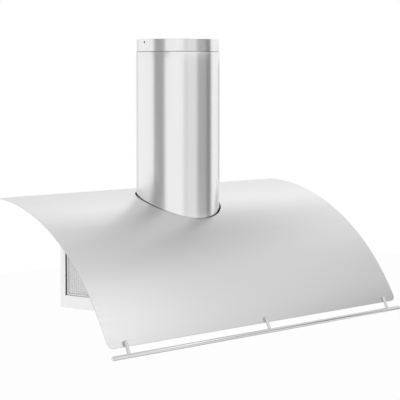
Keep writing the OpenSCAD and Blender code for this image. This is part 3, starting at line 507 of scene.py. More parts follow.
def full_turn(count: int) -> Array:
    """Equal angles of a whole turn, without its end."""
    return np.linspace(0.0, 2.0 * math.pi, count, endpoint=False)


def placed(points: Array, origin: Point, axis: Point) -> Array:
    """Points whose z runs along an axis from an origin: origin plus rotation times point."""
    z = np.asarray(axis, float) / np.linalg.norm(axis)
    helper = np.array([1.0, 0.0, 0.0]) if abs(z[0]) < 0.9 else np.array([0.0, 1.0, 0.0])
    x = np.cross(helper, z)
    x /= np.linalg.norm(x)
    return points @ np.stack([x, np.cross(z, x), z]) + np.asarray(origin)


class Assembly:
    """A sub-assembly of the hood: it builds its pieces, and dresses its nodes that stay."""

    stay: Stay = {}

    def build(self) -> None:
        """Builds the pieces: none where every node stays."""

    def finish(self, piece: Object, body: str, slot: Slot, *nodes: str) -> None:
        """Gives a new piece its finish, its body and the nodes that it stands for.

        Args:
            piece: the new object.
            body: the body that it rides on.
            slot: the record's slot of its finish.
            nodes: the nodes that it replaces.
        """
        piece.data.materials.append(FINISHES[slot].material())
        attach(piece, body)
        if nodes:
            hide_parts(*nodes)
        faces = len(piece.data.polygons)
        LOG.info("%s: %s, %d faces, on %s", type(self).__name__, piece.name, faces, body)

    def dress(self) -> None:
        """Gives the nodes that stay the material of their slot."""
        for slot, names in self.stay.items():
            material = FINISHES[slot].material()
            for node in (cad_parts[name] for name in names):
                if not node.material_slots:
                    node.data.materials.append(material)
                for place in node.material_slots:
                    place.material = material
            LOG.info("%s: %s in %s", type(self).__name__, ", ".join(names), slot.value)


@dataclass
class Canopy(Assembly):
    """The curved sheet: one arc across, with a round cut-out and two rounded corners."""

    width: float = 0.900
    depth: float = 0.484
    rise: float = 0.286
    top: float = 0.150
    thickness: float = 0.0015
    corner: float = 0.014
    corner_bulge: float = 0.7
    cut_radius: float = 0.111
    lip: float = 0.0005
    flank: tuple[float, ...] = (0.0, 0.0006, 0.003)
    cells: int = 28
    ray_step: float = 1.2
    corner_fan: float = 2.6
    corner_rays: int = 25
    stay = {Slot.INNER: ("wall_angle",)}

    def __post_init__(self) -> None:
        """Works out the arc, and the middles of cut-out and corners on the flat sheet."""
        self.radius = (self.depth**2 + self.rise**2) / (2.0 * self.rise)
        self.length = self.radius * math.asin(self.depth / self.radius)
        self.centre_z = self.top - self.radius
        self.middle = self.radius * math.asin(-CHIMNEY_Y / self.radius)
        self.corner_x = self.width / 2 - self.corner
        self.corner_a = self.length - self.corner - self.middle

    def rays(self) -> Array:
        """Angles round the cut-out, closer together towards the two rounded corners."""
        bulge = self.corner * self.corner_bulge
        fine = np.linspace(-self.corner_fan, self.corner_fan, self.corner_rays)
        ends = [np.degrees(math.atan2(self.corner_a + bulge, side * (self.corner_x + bulge))) + fine
                for side in (-1, 1)]
        even = np.arange(-180.0, 180.0, self.ray_step)
        return np.radians(np.unique(np.concatenate([even, *ends])))

    def hole(self, angles: Array) -> Array:
        """The cut-out on the flat sheet: a circle in plan, laid along the arc."""
        y = CHIMNEY_Y - self.cut_radius * np.sin(angles)
        return stacked(self.cut_radius * np.cos(angles), self.radius * np.arcsin(-y / self.radius))

    def outline(self, angles: Array) -> Array:
        """Where rays from the cut-out's middle meet the flat sheet's outline.

        A ray meets the nearest of the four sides. Where that place is within a corner's
        square, it meets the corner's circle instead.
        """
        c, s = np.cos(angles), np.sin(angles)
        with np.errstate(divide="ignore"):
            reach_x = np.where(np.abs(c) > TINY, self.width / 2 / np.abs(c), np.inf)
            reach_a = np.where(s > 0.0, self.length - self.middle, -self.middle) / s
        reach = np.minimum(reach_x, np.where(np.abs(s) > TINY, reach_a, np.inf))
        inside = (np.abs(reach * c) > self.corner_x) & (reach * s > self.corner_a)
        along = np.abs(c) * self.corner_x + s * self.corner_a
        root = along**2 - self.corner_x**2 - self.corner_a**2 + self.corner**2
        reach = np.where(inside, along + np.sqrt(np.maximum(root, 0.0)), reach)
        return stacked(reach * c, self.middle + reach * s)

    def bent(self, flat: Array, up: Array) -> Array:
        """Flat sheet to arc: (x, -r sin(a/R), centre + r cos(a/R)), with r = R + up."""
        angle = flat[..., 1] / self.radius
        r = self.radius + up
        y, z = -r * np.sin(angle), self.centre_z + r * np.cos(angle)
        return stacked(flat[..., 0], y, z)

    def build(self) -> None:
        """Sweeps the sheet's section, with rounded rims, from the cut-out to the outline."""
        angles = self.rays()
        inner, outer = self.hole(angles), self.outline(angles)
        reach = np.linalg.norm(outer - inner, axis=1)
        way = (outer - inner) / reach[:, None]
        e, t = self.lip, self.thickness
        flank = np.array(self.flank)[:, None]
        span = reach - 2 * (e + flank[-1])
        across = np.concatenate([
            e + flank + np.zeros(len(reach)),
            e + flank[-1] + np.linspace(0.0, 1.0, self.cells + 1)[1:-1, None] * span,
            reach - e - flank[::-1]])
        half = np.linspace(0.0, math.pi, 7)[1:-1, None]
        along = np.concatenate([
            across, reach - e + e * np.sin(half),
            across[::-1], e - e * np.sin(half) + np.zeros(len(reach))])
        level = np.zeros((len(across), 1))
        up = np.concatenate([
            level, -t / 2 + t / 2 * np.cos(half), level - t, -t / 2 - t / 2 * np.cos(half)])
        sheet = self.bent(inner + along[..., None] * way, up)
        self.finish(Shell().grid(sheet, True).made("canopy_sheet", 50.0),
                    Body.HOOD, Slot.CANOPY, "canopy")


@dataclass
class Chimney(Assembly):
    """Two tubes, one in the other, with a welded seam at the back and a dark strip at their joint,
    which is painted shade for the joint's shadow line.
    """

    lower_radius: float = 0.1075
    upper_radius: float = 0.106
    wall: float = 0.001
    lower_columns: int = 180
    lower_rows: int = 13
    upper_columns: int = 192
    upper_rows: tuple[int, int] = (15, 3)
    seam_depth: float = 0.00018
    seam_width: float = 0.0009
    seam_reach: float = 4.0
    seam_columns: int = 17
    hole_radius: float = 0.003
    hole_down: float = 0.008
    hole_cells: int = 4
    hole_steps: tuple[float, ...] = (0.4, 0.8, 1.0)
    # Height and radii of the dark strip that paints the shadow line at the tubes' joint.
    strip: float = 0.0010
    strip_in: float = 0.00005
    strip_out: float = 0.00105
    stay = {Slot.INNER: ("chimney_foot", "ceiling_ring")}

    def seamed(self, radius: Array, angles: Array) -> Array:
        """Radius less a narrow bell-shaped groove at the back: r - d exp(-(arc / w)^2)."""
        arc = (angles - math.pi / 2) * radius.max() / self.seam_width
        return radius - self.seam_depth * np.exp(-(arc**2))

    def lower(self) -> None:
        """The outer tube: a closed wall profile with rounded rims, turned round the axis.

        Its angles are equal, with closer ones at the seam behind.
        """
        low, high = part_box("chimney_lower")
        seam = self.seam_width / self.lower_radius
        even = full_turn(self.lower_columns)
        near = np.linspace(-self.seam_reach, self.seam_reach, self.seam_columns) * seam
        far = even[np.abs(even - math.pi / 2) > (self.seam_reach + 1.0) * seam]
        angles = np.unique(np.concatenate([far, math.pi / 2 + near]))
        rim = self.wall / 2
        mid = self.lower_radius - rim
        heights = np.linspace(low.z + rim, high.z - rim, self.lower_rows)
        profile = np.concatenate([
            stacked(self.lower_radius, heights),
            arc_points((mid, high.z - rim), rim, 20, 160, 6),
            stacked(self.lower_radius - self.wall, heights[::-1]),
            arc_points((mid, low.z + rim), rim, 200, 340, 6)])
        radius = self.seamed(profile[:, :1], angles)
        x, y = radius * np.cos(angles), CHIMNEY_Y + radius * np.sin(angles)
        points = stacked(x, y, profile[:, 1:])
        self.finish(Shell().grid(points, True).made("chimney_lower_tube", 60.0),
                    Body.HOOD, Slot.CHIMNEY, "chimney_lower")

    def upper(self) -> None:
        """The inner tube: a flat grid with a screw hole at each side, rolled up and thickened."""
        low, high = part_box("chimney_upper")
        count, cells = self.upper_columns, self.hole_cells
        pitch = 2.0 * math.pi * self.upper_radius / count
        level = high.z - self.hole_down
        near = level + (np.arange(cells + 1) - cells / 2) * pitch
        below = np.linspace(low.z, near[0], self.upper_rows[0])[:-1]
        above = np.linspace(near[-1], high.z, self.upper_rows[1])[1:]
        heights = np.concatenate([below, near, above])
        arc = np.arange(count) * pitch
        flat = stacked(*np.meshgrid(arc, heights)).reshape(-1, 2)
        quads = wrapped_quads(len(heights), count)
        row, column = quads[:, 0] // count - len(below), quads[:, 0] % count
        cut = np.zeros(len(quads), bool)
        places, rings = [flat], []
        for centre in (0, count // 2):
            first = (centre - cells // 2) % count
            cut |= (row >= 0) & (row < cells) & ((column - first) % count < cells)
            outer = self.window(first, len(below), cells, count)
            middle, back = np.array([centre * pitch, level]), arc[-1] / 2
            place = flat[outer].copy()
            place[:, 0] = (place[:, 0] - middle[0] + back) % (count * pitch) - back + middle[0]
            away = place - middle
            edge = middle + away / np.linalg.norm(away, axis=1)[:, None] * self.hole_radius
            for share in self.hole_steps:
                inner = sum(map(len, places)) + np.arange(len(outer))
                places.append(place + (edge - place) * share)
                rings.append(stacked(outer, np.roll(outer, -1), np.roll(inner, -1), inner))
                outer = inner
        flat = np.concatenate(places)
        angles = flat[:, 0] / self.upper_radius
        radius = self.seamed(np.full(len(flat), self.upper_radius), angles % (2 * math.pi))
        x, y = radius * np.cos(angles), CHIMNEY_Y + radius * np.sin(angles)
        faces = np.concatenate([quads[~cut], *rings])
        shell = Shell().loose(stacked(x, y, flat[:, 1]), faces)
        tube = shell.made("chimney_upper_tube", 60.0)
        wall = tube.modifiers.new("wall", "SOLIDIFY")
        wall.thickness, wall.offset = self.wall, -1.0
        self.finish(tube, Body.CHIMNEY_SLIDE, Slot.CHIMNEY, "chimney_upper")

    def joint_shade(self) -> None:
        """A dark strip on the lower tube's rim, round the upper tube: painted shade, a black ring
        that stands for the shadow line where the tubes meet.
        """
        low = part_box("chimney_lower")[1].z
        high, edge = low + self.strip, self.strip / 4
        inner, outer = self.upper_radius + self.strip_in, self.upper_radius + self.strip_out
        profile = np.array([[inner, low], [outer, low], [outer, high - edge],
                            [outer - edge, high], [inner, high]])
        points = turned(profile, full_turn(self.lower_columns), (0.0, CHIMNEY_Y, 0.0))
        # The strip's black rubber finish is painted shade for the joint's shadow line.
        self.finish(Shell().grid(points, True).made("chimney_joint_shade_strip", 60.0),
                    Body.HOOD, Slot.RUBBER)

    @staticmethod
    def window(column: int, row: int, cells: int, columns: int) -> Array:
        """Point numbers round a square window of cells in a grid, in order."""
        steps = np.arange(cells)
        rows = np.concatenate([np.zeros(cells, int), steps, np.full(cells, cells), cells - steps])
        return (row + rows) * columns + (column + np.roll(rows, -cells)) % columns

    def build(self) -> None:
        """Builds the tubes and the painted-shade strip at their joint."""
        self.lower()
        self.joint_shade()
        self.upper()


class FilterBox(Assembly):
    """The folded box behind the filters, its inner deck and the rubber bush."""

    stay = {
        Slot.BOX: ("back_panel", "side_panel_left", "side_panel_right", "front_panel",
                   "floor_panel"),
        Slot.INNER: ("top_deck",),
        Slot.RUBBER: ("cable_bush",),
    }


@dataclass
class Filter(Assembly):
    """One filter in its slanted well: woven wire in front, knitted layers, a ring pull."""

    side: Side
    corner: Plan = (0.273, -0.010)
    start: float = 0.0124
    front: float = 0.0048
    length: float = 0.2890
    height: float = 0.1487
    foot: float = -0.10676
    pitch: float = 0.00566
    wire: float = 0.00078
    wire_flat: float = 0.75
    weave_in: float = 0.0006
    weave_wave: float = 0.0003
    pull_along: float = 0.156908
    pull_in: float = 0.0026
    pull_up: float = 0.0408835
    pull_bend: float = 0.0118
    pull_wire: float = 0.0011
    pull_straight: float = 0.0042

    def __post_init__(self) -> None:
        """Names the frame and the core, which stay."""
        word = self.side.word
        self.stay = {Slot.FILTER: (f"filter_frame_{word}",), Slot.CORE: (f"filter_core_{word}",)}

    def face(self, local: Array) -> Array:
        """Points of the side face's own frame (along it, into the box, up) in the hood's."""
        s, c = math.sin(SLANT), math.cos(SLANT)
        x = -self.corner[0] + local[..., 0] * s + local[..., 1] * c
        y = self.corner[1] - local[..., 0] * c + local[..., 1] * s
        return stacked(-self.side.value * x, y, local[..., 2])

    def strands(self, shell: Shell, count: int, crossings: int, upright: bool) -> None:
        """Adds all the wires of one direction.

        Each wire runs straight and waves in depth: sin(pi (k + i)) in turn over and under
        the crossing wires, k counting half pitches and i the wire, with a square section.

        Args:
            shell: the shell that the wires are added to.
            count: number of wires.
            crossings: number of wires that each one crosses.
            upright: whether they stand or lie.
        """
        steps = np.arange(2 * crossings + 1) / 2.0
        which = np.arange(count)
        wave = np.sin(math.pi * (steps + which[:, None] + (0.5 if upright else -0.5)))
        ring = np.radians(np.arange(4) * 90.0 + 45.0)
        offset = self.wire * stacked(np.cos(ring), np.sin(ring))
        across = (which + 0.5)[:, None, None] * self.pitch + offset[:, 0]
        depth = (self.front + self.weave_in + self.weave_wave * wave[:, :, None]
                 + self.wire_flat * offset[:, 1])
        run = (steps * self.pitch)[:, None]
        x, z = (across, run) if upright else (run, across)
        local = stacked(self.start + x, depth, self.foot + z)
        base = which[:, None] * (len(steps) * 4)
        quads = wrapped_quads(len(steps), 4).reshape(1, -1)
        shell.loose(self.face(local).reshape(-1, 3), (base + quads).reshape(-1, 4))

    def net(self) -> None:
        """Weaves the wires both ways over the filter's face."""
        shell = Shell()
        columns, rows = int(self.length / self.pitch), int(self.height / self.pitch)
        self.strands(shell, columns, rows, True)
        self.strands(shell, rows, columns, False)
        word = self.side.word
        self.finish(shell.made(f"filter_weave_{word}"),
                    f"filter_{word}", Slot.NET, f"filter_net_{word}")

    def pull(self) -> None:
        """Bends a round wire to a ring: two straight legs, a half circle and a hinge bar."""
        bend, r = self.pull_bend, self.pull_wire
        legs = np.linspace(0.0, -self.pull_straight, 4)
        half = arc_points((0.0, -self.pull_straight), bend, 180.0, 360.0, 25)
        loop = np.concatenate([
            stacked(-bend, legs), half[1:-1], stacked(bend, legs[::-1]),
            stacked(np.linspace(bend, -bend, 12)[1:-1], 0.0)])
        way = np.roll(loop, -1, axis=0) - np.roll(loop, 1, axis=0)
        way /= np.linalg.norm(way, axis=1)[:, None]
        ring = full_turn(12)
        x = loop[:, :1] + r * np.cos(ring) * way[:, 1:]
        z = loop[:, 1:] - r * np.cos(ring) * way[:, :1]
        y = r * np.sin(ring)
        local = stacked(self.pull_along + x, self.pull_in + y, self.pull_up + z)
        word = self.side.word
        self.finish(Shell().grid(self.face(local), True).made(f"filter_ring_{word}", 70.0),
                    f"pull_{word}", Slot.PULL, f"filter_pull_{word}")

    def build(self) -> None:
        """Builds the weave and the ring pull."""
        self.net()
        self.pull()


class Blower(Assembly):
    """Scroll, wheel and motor, with the air outlet above them."""

    stay = {
        Slot.INNER: ("scroll_band", "scroll_side_left", "scroll_side_right", "motor_bracket",
                     "duct_collar", "damper_flap_front", "damper_flap_rear"),
        Slot.SCREW: ("motor_shaft", "damper_pin"),
        Slot.RUBBER: ("outlet_gasket", "blower_mounts"),
        Slot.WHEEL: ("fan_wheel",),
        Slot.MOTOR: ("motor",),
    }


class Electrics(Assembly):
    """Terminal box, capacitor and lamp driver on the deck."""

    stay = {
        Slot.BLACK: ("terminal_box", "terminal_cover", "cable_gland"),
        Slot.WHITE: ("terminal_block", "motor_capacitor", "lamp_driver"),
    }


@dataclass
class Controls(Assembly):
    """Five push buttons in a dark fascia under the box's front."""

    names: tuple[str, ...] = ("off", "low", "mid", "high", "lamp")
    radius: float = 0.007
    edge: float = 0.0012
    dish: float = 0.0006
    proud: float = 0.0025
    travel: float = 0.002
    gap: float = 0.00005
    flange: float = 0.0084
    flange_thick: float = 0.001
    stem: float = 0.003
    stay = {Slot.BLACK: ("control_fascia",), Slot.GREY: ("switch_housing",)}

    def button(self, name: str) -> None:
        """A turned button: a face dished as r^2, a rounded rim, a skirt, a flange and a stem."""
        low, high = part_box(f"button_{name}")
        inner = np.linspace(0.0, self.radius - self.edge, 9)
        face = stacked(inner, low.z + self.dish * (1.0 - (inner / inner[-1]) ** 2))
        rim = arc_points((self.radius - self.edge, low.z + self.edge), self.edge, -90.0, 0.0, 7)
        under = low.z + self.proud + self.travel + self.gap
        over = under + self.flange_thick
        stepped = np.array([
            [self.radius, under], [self.flange, under], [self.flange, over],
            [self.stem, over], [self.stem, high.z], [0.0, high.z]])
        middle = (low + high) / 2
        points = turned(np.concatenate([face, rim[1:], stepped]), full_turn(48),
                        (middle.x, middle.y, 0.0))
        self.finish(Shell().grid(points).made(f"push_{name}", 30.0),
                    f"key_{name}", Slot.BUTTON, f"button_{name}")

    def build(self) -> None:
        """Turns the buttons."""
        for name in self.names:
            self.button(name)


@dataclass
class Lamps(Assembly):
    """Two round lamps in the floor panel."""

    middle: Plan = (0.130436, -0.150)
    lens_radius: float = 0.026
    lens_out: float = 0.001
    lens_thick: float = 0.0035
    lens_edge: float = 0.0004
    lens_step: float = 0.0001
    dome: float = 0.00048
    gap: float = 0.0001
    ring_width: float = 0.008
    ring_out: float = 0.0025
    ring_lip: float = 0.0008
    sleeve: float = 0.001
    sleeve_up: float = 0.004
    stay = {Slot.INNER: ("lamp_housings",)}

    def both(self, profile: Array, name: str, slot: Slot, node: str, closed: bool) -> None:
        """Turns a profile at both lamps into one piece."""
        shell = Shell()
        for side in Side:
            foot = (side.value * self.middle[0], self.middle[1], FLOOR_Z)
            shell.grid(turned(profile, full_turn(72), foot), closed)
        self.finish(shell.made(name, 40.0), Body.HOOD, slot, node)

    def build(self) -> None:
        """Turns lenses, domed as r^2, and rings with a rolled outer edge."""
        r = np.linspace(0.0, self.lens_radius - self.lens_edge, 12)
        top = self.lens_thick - self.lens_out
        edge = [[self.lens_radius, -self.lens_step], [self.lens_radius, top - self.lens_edge]]
        lens = np.concatenate([
            stacked(r, -self.lens_out + self.dome * (r / r[-1]) ** 2), edge, stacked(r[::-1], top)])
        self.both(lens, "lamp_glass", Slot.LENS, "lamp_lenses", False)
        inner, lip, roll = self.lens_radius + self.gap, self.ring_lip, self.ring_out
        outer, sleeve = inner + self.ring_width, inner + self.sleeve
        ring = np.concatenate([
            arc_points((inner + lip, -roll + lip), lip, 180.0, 270.0, 6),
            arc_points((outer - roll, 0.0), roll, -90.0, 0.0, 9),
            [[outer, 0.0], [sleeve, 0.0], [sleeve, self.sleeve_up], [inner, self.sleeve_up]]])
        self.both(ring, "lamp_bezel", Slot.BUTTON, "lamp_rings", True)


@dataclass
class Rail(Assembly):
    """The round rail in front of the sheet's edge, on three short posts."""

    radius: float = 0.005
    half: float = 0.450
    dome: float = 0.0015
    cap: float = 0.003
    groove: float = 0.0003
    groove_in: float = 0.00015
    post_radius: float = 0.004
    reach: float = 0.022
    grip: float = 0.014
    gap: float = 0.00005
    facets: int = 40
    posts: tuple[tuple[str, float], ...] = (("left", -0.405), ("centre", 0.0), ("right", 0.405))
    canopy: Canopy = field(default_factory=Canopy)

    def edge(self, local: Array) -> Array:
        """Points of the sheet edge's frame (along it, into the sheet, up it) in the hood's."""
        slope = math.asin(self.canopy.depth / self.canopy.radius)
        s, c = math.sin(slope), math.cos(slope)
        y = -self.canopy.depth + local[..., 1] * s + local[..., 2] * c
        z = self.canopy.top - self.canopy.rise - local[..., 1] * c + local[..., 2] * s
        return stacked(local[..., 0], y, z)

    def bar(self) -> None:
        """One round bar with domed ends, and a fine groove where each end cap begins."""
        r, seam = self.radius, self.half - self.cap
        right = np.concatenate([
            [[r, 0.0], [r, seam - self.groove]],
            [[r - self.groove_in, seam], [r, seam + self.groove]],
            arc_points((r - self.dome, self.half - self.dome), self.dome, 0.0, 90.0, 7),
            [[0.0, self.half]]])
        left = right[::-1] * np.array([1.0, -1.0])
        points = turned(np.concatenate([left[:-1], right]), full_turn(self.facets))
        local = points[..., [2, 0, 1]] + np.array([0.0, -self.post_radius - self.gap, -self.reach])
        self.finish(Shell().grid(self.edge(local)).made("rail_bar"),
                    Body.HOOD, Slot.RAIL, "utensil_rail", "rail_end_caps")

    def post(self, x: float, word: str) -> None:
        """A round post: a domed tip on the sheet, and a foot coped to the rail's round.

        The foot follows sqrt(R^2 - (r sin a)^2) of the rail's radius R above its axis.
        """
        angles, r, top = full_turn(self.facets), self.post_radius, self.grip - self.post_radius
        feet = [-self.reach + np.sqrt((self.radius + self.gap) ** 2 - (out * np.sin(angles)) ** 2)
                for out in (0.0, r)]
        shares = np.linspace(0.0, 1.0, 9)
        dome = arc_points((0.0, top), r, 0.0, 90.0, 9)[1:]
        heights = np.concatenate([
            feet[:1], feet[1] + (top - feet[1]) * shares[:, None],
            np.repeat(dome[:, 1:], len(angles), axis=1)])
        radii = np.concatenate([[0.0], np.full(len(shares), r), dome[:, 0]])[:, None]
        out = -r - self.gap + radii * np.sin(angles)
        local = stacked(x + radii * np.cos(angles), out, heights)
        self.finish(Shell().grid(self.edge(local)).made(f"rail_peg_{word}", 45.0),
                    Body.HOOD, Slot.RAIL, f"rail_post_{word}")

    def build(self) -> None:
        """Builds the bar and its three posts."""
        self.bar()
        for word, x in self.posts:
            self.post(x, word)


@dataclass
class Screws(Assembly):
    """Pan head screws with a cross recess, in groups that share a node."""

    head_radius: float = 0.0035
    head_height: float = 0.0018
    head_edge: float = 0.0003
    head_side: float = 0.45
    dome: float = 0.35
    shank: float = 0.002
    tip: float = 0.0004
    recess: float = 0.0011
    recess_arm: float = 0.00045
    recess_reach: float = 0.62
    recess_side: float = 1.6
    recess_ramp: float = 2.5
    face_length: float = 0.340817
    face_shares: tuple[float, ...] = (0.12, 0.5, 0.88)
    flange: float = 0.0075
    deck: float = 0.0690387
    foot_sheet: float = 0.0012
    foot_ring: float = 0.11345
    foot_side: float = 0.1089
    foot_side_up: float = 0.006
    collar_sheet: float = 0.001
    collar_ring: float = 0.08197
    stay = {Slot.SCREW: ("blower_screws", "rail_screws")}

    def screw(self, shell: Shell, origin: Point, axis: Point, length: float) -> None:
        """Adds one screw with its head's underside at origin and its shank along axis.

        The head is a low dome h (1 - d (r/R)^4), less a cross-shaped recess that is deepest
        in the middle. Cells of the grid follow radius and angle.

        Args:
            shell: the shell that the screw is added to.
            origin: the middle of the head's underside.
            axis: the way of the shank.
            length: the shank's length.
        """
        angles = full_turn(32)
        radius, height, shank = self.head_radius, self.head_height, self.shank
        r = np.linspace(0.0, radius - self.head_edge, 12)[:, None]
        dome = -height * (1.0 - self.dome * (r / radius) ** 4)
        x, y = r * np.cos(angles), r * np.sin(angles)
        arm = np.minimum(np.abs(x), np.abs(y)) / self.recess_arm
        end = np.maximum(np.abs(x), np.abs(y)) / (radius * self.recess_reach)
        side, ramp = self.recess_side - arm, (1.0 - end) * self.recess_ramp
        cut = np.clip(side, 0.0, 1.0) * np.clip(ramp, 0.0, 1.0)
        head = stacked(x, y, dome + self.recess * cut)
        rest = turned(np.array([
            [radius, -height * self.head_side], [radius, 0.0], [shank, 0.0],
            [shank, length - self.tip], [shank - self.tip, length], [0.0, length]]), angles)
        shell.grid(placed(np.concatenate([head, rest]), origin, axis))

    def group(self, name: str, node: str, places: list[Place], length: float) -> None:
        """Makes one piece of all the screws of a node."""
        shell = Shell()
        for origin, axis in places:
            self.screw(shell, origin, axis, length)
        self.finish(shell.made(name, 40.0), Body.HOOD, Slot.SCREW, node)

    @staticmethod
    def four(radius: float, level: float, start: float) -> list[Place]:
        """Four screws that point down, on a circle round the chimney's axis."""
        turns = [math.radians(start + 90.0 * i) for i in range(4)]
        return [((radius * math.cos(a), CHIMNEY_Y + radius * math.sin(a), level),
                 (0.0, 0.0, -1.0)) for a in turns]

    def build(self) -> None:
        """Places each group as its node has it."""
        spots = np.array([[share * self.face_length, self.flange, FLOOR_Z]
                          for share in self.face_shares])
        floor = [((side * x, y, z), (0.0, 0.0, 1.0))
                 for x, y, z in Filter(Side.LEFT).face(spots) for side in (1.0, -1.0)]
        self.group("floor_pan_screws", "floor_screws", floor, 0.003)
        level = self.deck + self.foot_sheet
        foot = self.four(self.foot_ring, level, 45.0)
        foot += [((side * self.foot_side, CHIMNEY_Y, level + self.foot_side_up), (-side, 0.0, 0.0))
                 for side in (-1.0, 1.0)]
        self.group("foot_pan_screws", "foot_screws", foot, 0.0024)
        collar = self.four(self.collar_ring, self.deck + self.collar_sheet, 0.0)
        self.group("collar_pan_screws", "collar_screws", collar, 0.003)


class Ceiling(Tree):
    """The shaded ceiling's material: a glow whose strength the curved sheet mirrors."""

    def __init__(self, name: str) -> None:
        """Starts with the distances to the right and to the back."""
        super().__init__(bpy.data.materials.new(name))
        parts = self.add("ShaderNodeSeparateXYZ")
        self.join(self.add("ShaderNodeTexCoord").outputs["Object"], parts.inputs[0])
        self.x, self.y = parts.outputs["X"], parts.outputs["Y"]

    def slanted(self, share: float) -> Socket:
        """Distance to the right, plus a share of the distance to the back."""
        return self.maths("MULTIPLY_ADD", self.y, share, self.x)

    def eased(self, along: Socket, start: float, end: float,
              low: float = 0.0, high: float = 1.0) -> Socket:
        """Smooth step along a direction."""
        return self.ranged(along, low, high, start, end, "SMOOTHSTEP")

    def blended(self, share: Socket, *ends: Socket | float) -> Socket:
        """The first end where share is 0, the second where it is 1."""
        node = self.add("ShaderNodeMix")
        targets = (node.inputs[0], node.inputs[2], node.inputs[3])
        for source, target in zip((share, *ends), targets):
            self.join(source, target)
        return node.outputs[0]

    def shade(self) -> None:
        """Falls across the front in slanted steps, dips in the middle and is white behind.

        Rays that were mirrored twice, from the canopy and then the chimney, find a dark
        right side instead, which makes the dark patch at the chimney's foot.
        """
        x, y, slanted, eased, blended = self.x, self.y, self.slanted, self.eased, self.blended
        near = blended(eased(slanted(0.42), 0.50, 0.88), 1.50,
                       eased(slanted(0.42), 1.0, 1.7, 0.60, 0.84))
        near = blended(eased(slanted(0.36), 2.1, 2.7), near, 0.57)
        front = blended(eased(x, 0.45, 0.95), 0.66, near)
        middle = blended(eased(x, 1.6, 2.5), eased(x, 1.0, 1.5, 0.78, 0.40), 0.96)
        back = eased(x, 0.7, 1.5, 0.74, 1.22)
        whole = blended(eased(y, -0.9, 0.0), front, middle)
        whole = blended(eased(y, 0.8, 1.5), whole, back)
        whole = blended(eased(y, 2.1, 3.4), whole, 0.84)
        twice = eased(slanted(-0.5), 2.2, 2.6, 0.77, 0.15)
        twice = blended(eased(y, -0.3, 0.5), twice, whole)
        depth = self.add("ShaderNodeLightPath").outputs["Ray Depth"]
        self.glowing(1.0, blended(eased(depth, 1.2, 1.8), whole, twice))


class Card(NamedTuple):
    """An upright grey card: its ends in plan, its lower and upper edge, its brightness."""

    name: str
    start: Plan
    end: Plan
    low: float
    high: float
    level: float


CARDS = (
    Card("card_left", (-2.2, -0.80), (-2.2, 0.45), -0.12, 0.9, 0.40),
    Card("card_left_low", (-2.2, -0.80), (-2.2, -0.15), -0.5, -0.12, 0.30),
    Card("card_left_high", (-2.2, -1.3), (-2.2, 0.9), 0.9, 2.6, 0.42),
    Card("card_strip", (-0.95, -2.56), (-0.46, -2.70), -0.4, 0.9, 0.73),
    Card("card_dull", (-0.46, -2.70), (0.72, -2.65), -0.4, 0.9, 0.83),
    Card("card_front_right", (0.72, -2.65), (1.89, -1.92), -0.4, 0.95, 0.44),
    Card("card_right", (1.89, -1.92), (2.36, -1.26), -0.4, 0.95, 0.24),
    Card("card_right_low", (2.36, -1.26), (3.4, 0.6), -1.3, -0.42, 0.35),
    Card("card_back", (-3.2, 2.6), (3.6, 2.6), -0.66, 1.6, 0.95),
    Card("card_edge", (3.4, 0.90), (2.6, 2.10), -0.6, 0.56, 0.64),
    Card("card_back_bright", (-3.2, 2.58), (-0.3, 2.58), -0.4, 0.66, 1.0),
    Card("card_back_dull", (-0.1, 2.58), (2.3, 2.58), -0.4, 0.80, 0.80),
    Card("card_back_low", (-1.3, 2.6), (1.1, 2.6), -1.1, -0.70, 0.05),
    Card("card_back_right", (1.1, 2.6), (4.2, 2.6), -1.74, -0.66, 0.62),
)


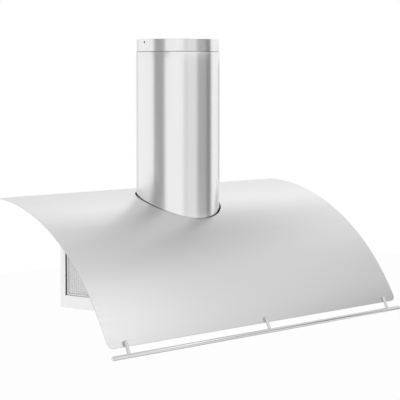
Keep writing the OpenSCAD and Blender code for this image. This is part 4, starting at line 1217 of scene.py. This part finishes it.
@dataclass
class Studio:
    """Plain pale floor, soft light, and the cards that satin steel mirrors."""

    floor_level: float = -1.76
    floor_reach: float = 9.0
    floor_white: float = 0.96
    under_up: float = 0.02
    under_level: float = 0.62
    ceiling_level: float = 2.2
    fill: float = 0.62
    camera_place: Point = (-1.83792, -2.56045, 0.4528)
    camera_turn: float = 38.2582
    camera_dip: float = 2.9947
    focal: float = 105.801
    sensor: float = 36.0
    shift: float = -0.16
    target: Point = (0.0, -0.25, 0.1)

    def camera(self) -> None:
        """Camera at the photograph's place, a little dipped, with its frame shifted down."""
        data = bpy.data.cameras.new("camera")
        data.lens, data.sensor_width, data.shift_y = self.focal, self.sensor, self.shift
        data.clip_end = 100.0
        camera = linked("camera", data)
        camera.location = self.camera_place
        dip, turn = math.radians(90.0 - self.camera_dip), math.radians(-self.camera_turn)
        camera.rotation_euler = (dip, 0.0, turn)
        bpy.context.scene.camera = camera

    def world(self) -> None:
        """White for what is seen or mirrored, and a soft fill for the rest."""
        tree = Tree(bpy.data.worlds.new("studio"))
        soft, white = (tree.add("ShaderNodeBackground", Color=(1.0, 1.0, 1.0, 1.0), Strength=power)
                       for power in (self.fill, 1.0))
        tree.mixed("ShaderNodeOutputWorld", tree.seen(), soft, white)
        bpy.context.scene.world = tree.owner

    def floor(self) -> None:
        """A wide pale floor far below, that shows white and keeps a faint shadow."""
        tree = Tree(bpy.data.materials.new("pale_floor"))
        tree.mixed("ShaderNodeOutputMaterial",
                   tree.maths("MULTIPLY", tree.seen(), self.floor_white),
                   tree.add("ShaderNodeBsdfDiffuse", Color=(0.90, 0.90, 0.90, 1.0)),
                   tree.add("ShaderNodeEmission", Strength=1.0))
        reach = self.floor_reach
        self.level("floor", (-reach, -reach), (reach, reach), self.floor_level, tree.owner)

    @staticmethod
    def card(name: str, corners: list[Point], material: Material) -> Object:
        """A flat four-cornered stage piece."""
        mesh = bpy.data.meshes.new(name)
        mesh.from_pydata(corners, [], [(0, 1, 2, 3)])
        mesh.materials.append(material)
        made = linked(name, mesh)
        return made

    def level(self, name: str, low: Plan, high: Plan, z: float,
              material: Material) -> Object:
        """A level stage piece between two corners in plan."""
        plan = (low, (high[0], low[1]), high, (low[0], high[1]))
        return self.card(name, [(*place, z) for place in plan], material)

    @staticmethod
    def glow(name: str, level: float) -> Material:
        """A plain emitting grey."""
        tree = Tree(bpy.data.materials.new(name))
        tree.glowing(level)
        return tree.owner

    def cards(self) -> None:
        """Grey sides, front and back, a dull floor patch and a shaded ceiling.

        Only mirrors show them: they are hidden from all but glossy rays.
        """
        hidden = []
        for card in CARDS:
            corners = [(*card.start, card.low), (*card.end, card.low),
                       (*card.end, card.high), (*card.start, card.high)]
            hidden.append(self.card(card.name, corners, self.glow(card.name, card.level)))
        hidden.append(self.level("card_under", (-1.0, -2.2), (2.4, 2.4),
                                 self.floor_level + self.under_up,
                                 self.glow("card_under", self.under_level)))
        ceiling = Ceiling("card_ceiling")
        ceiling.shade()
        hidden.append(self.level("card_ceiling", (-2.6, -3.4), (6.0, 7.0),
                                 self.ceiling_level, ceiling.owner))
        for card in hidden:
            card.visible_camera = card.visible_diffuse = card.visible_shadow = False
            card.visible_transmission = card.visible_volume_scatter = False

    def lamp(self, name: str, place: Point, size: float, power: float) -> None:
        """A square soft lamp that faces the hood, and that mirrors don't show."""
        data = bpy.data.lights.new(name, "AREA")
        data.energy, data.size = power, size
        lamp = linked(name, data)
        lamp.location = place
        way = Vector(self.target) - Vector(place)
        lamp.rotation_euler = way.to_track_quat("-Z", "Y").to_euler()
        lamp.visible_glossy = False

    def build(self) -> None:
        """Sets the whole stage."""
        bpy.context.scene.view_settings.view_transform = "Standard"
        self.camera()
        self.world()
        self.floor()
        self.cards()
        self.lamp("key", (-1.8, -2.2, 2.2), 1.6, 42.0)
        self.lamp("fill", (2.4, -1.6, 1.4), 1.8, 16.0)
        self.lamp("under", (0.4, -0.6, -1.4), 1.4, 9.0)


def main() -> None:
    """Builds the stage and every sub-assembly."""
    logging.basicConfig(level=logging.INFO, format="%(name)s %(message)s")
    Studio().build()
    assemblies: list[Assembly] = [
        Canopy(), Chimney(), FilterBox(), Filter(Side.LEFT), Filter(Side.RIGHT), Blower(),
        Electrics(), Controls(), Lamps(), Rail(), Screws(),
    ]
    for assembly in assemblies:
        assembly.build()
        assembly.dress()


if __name__ == "__main__":
    main()
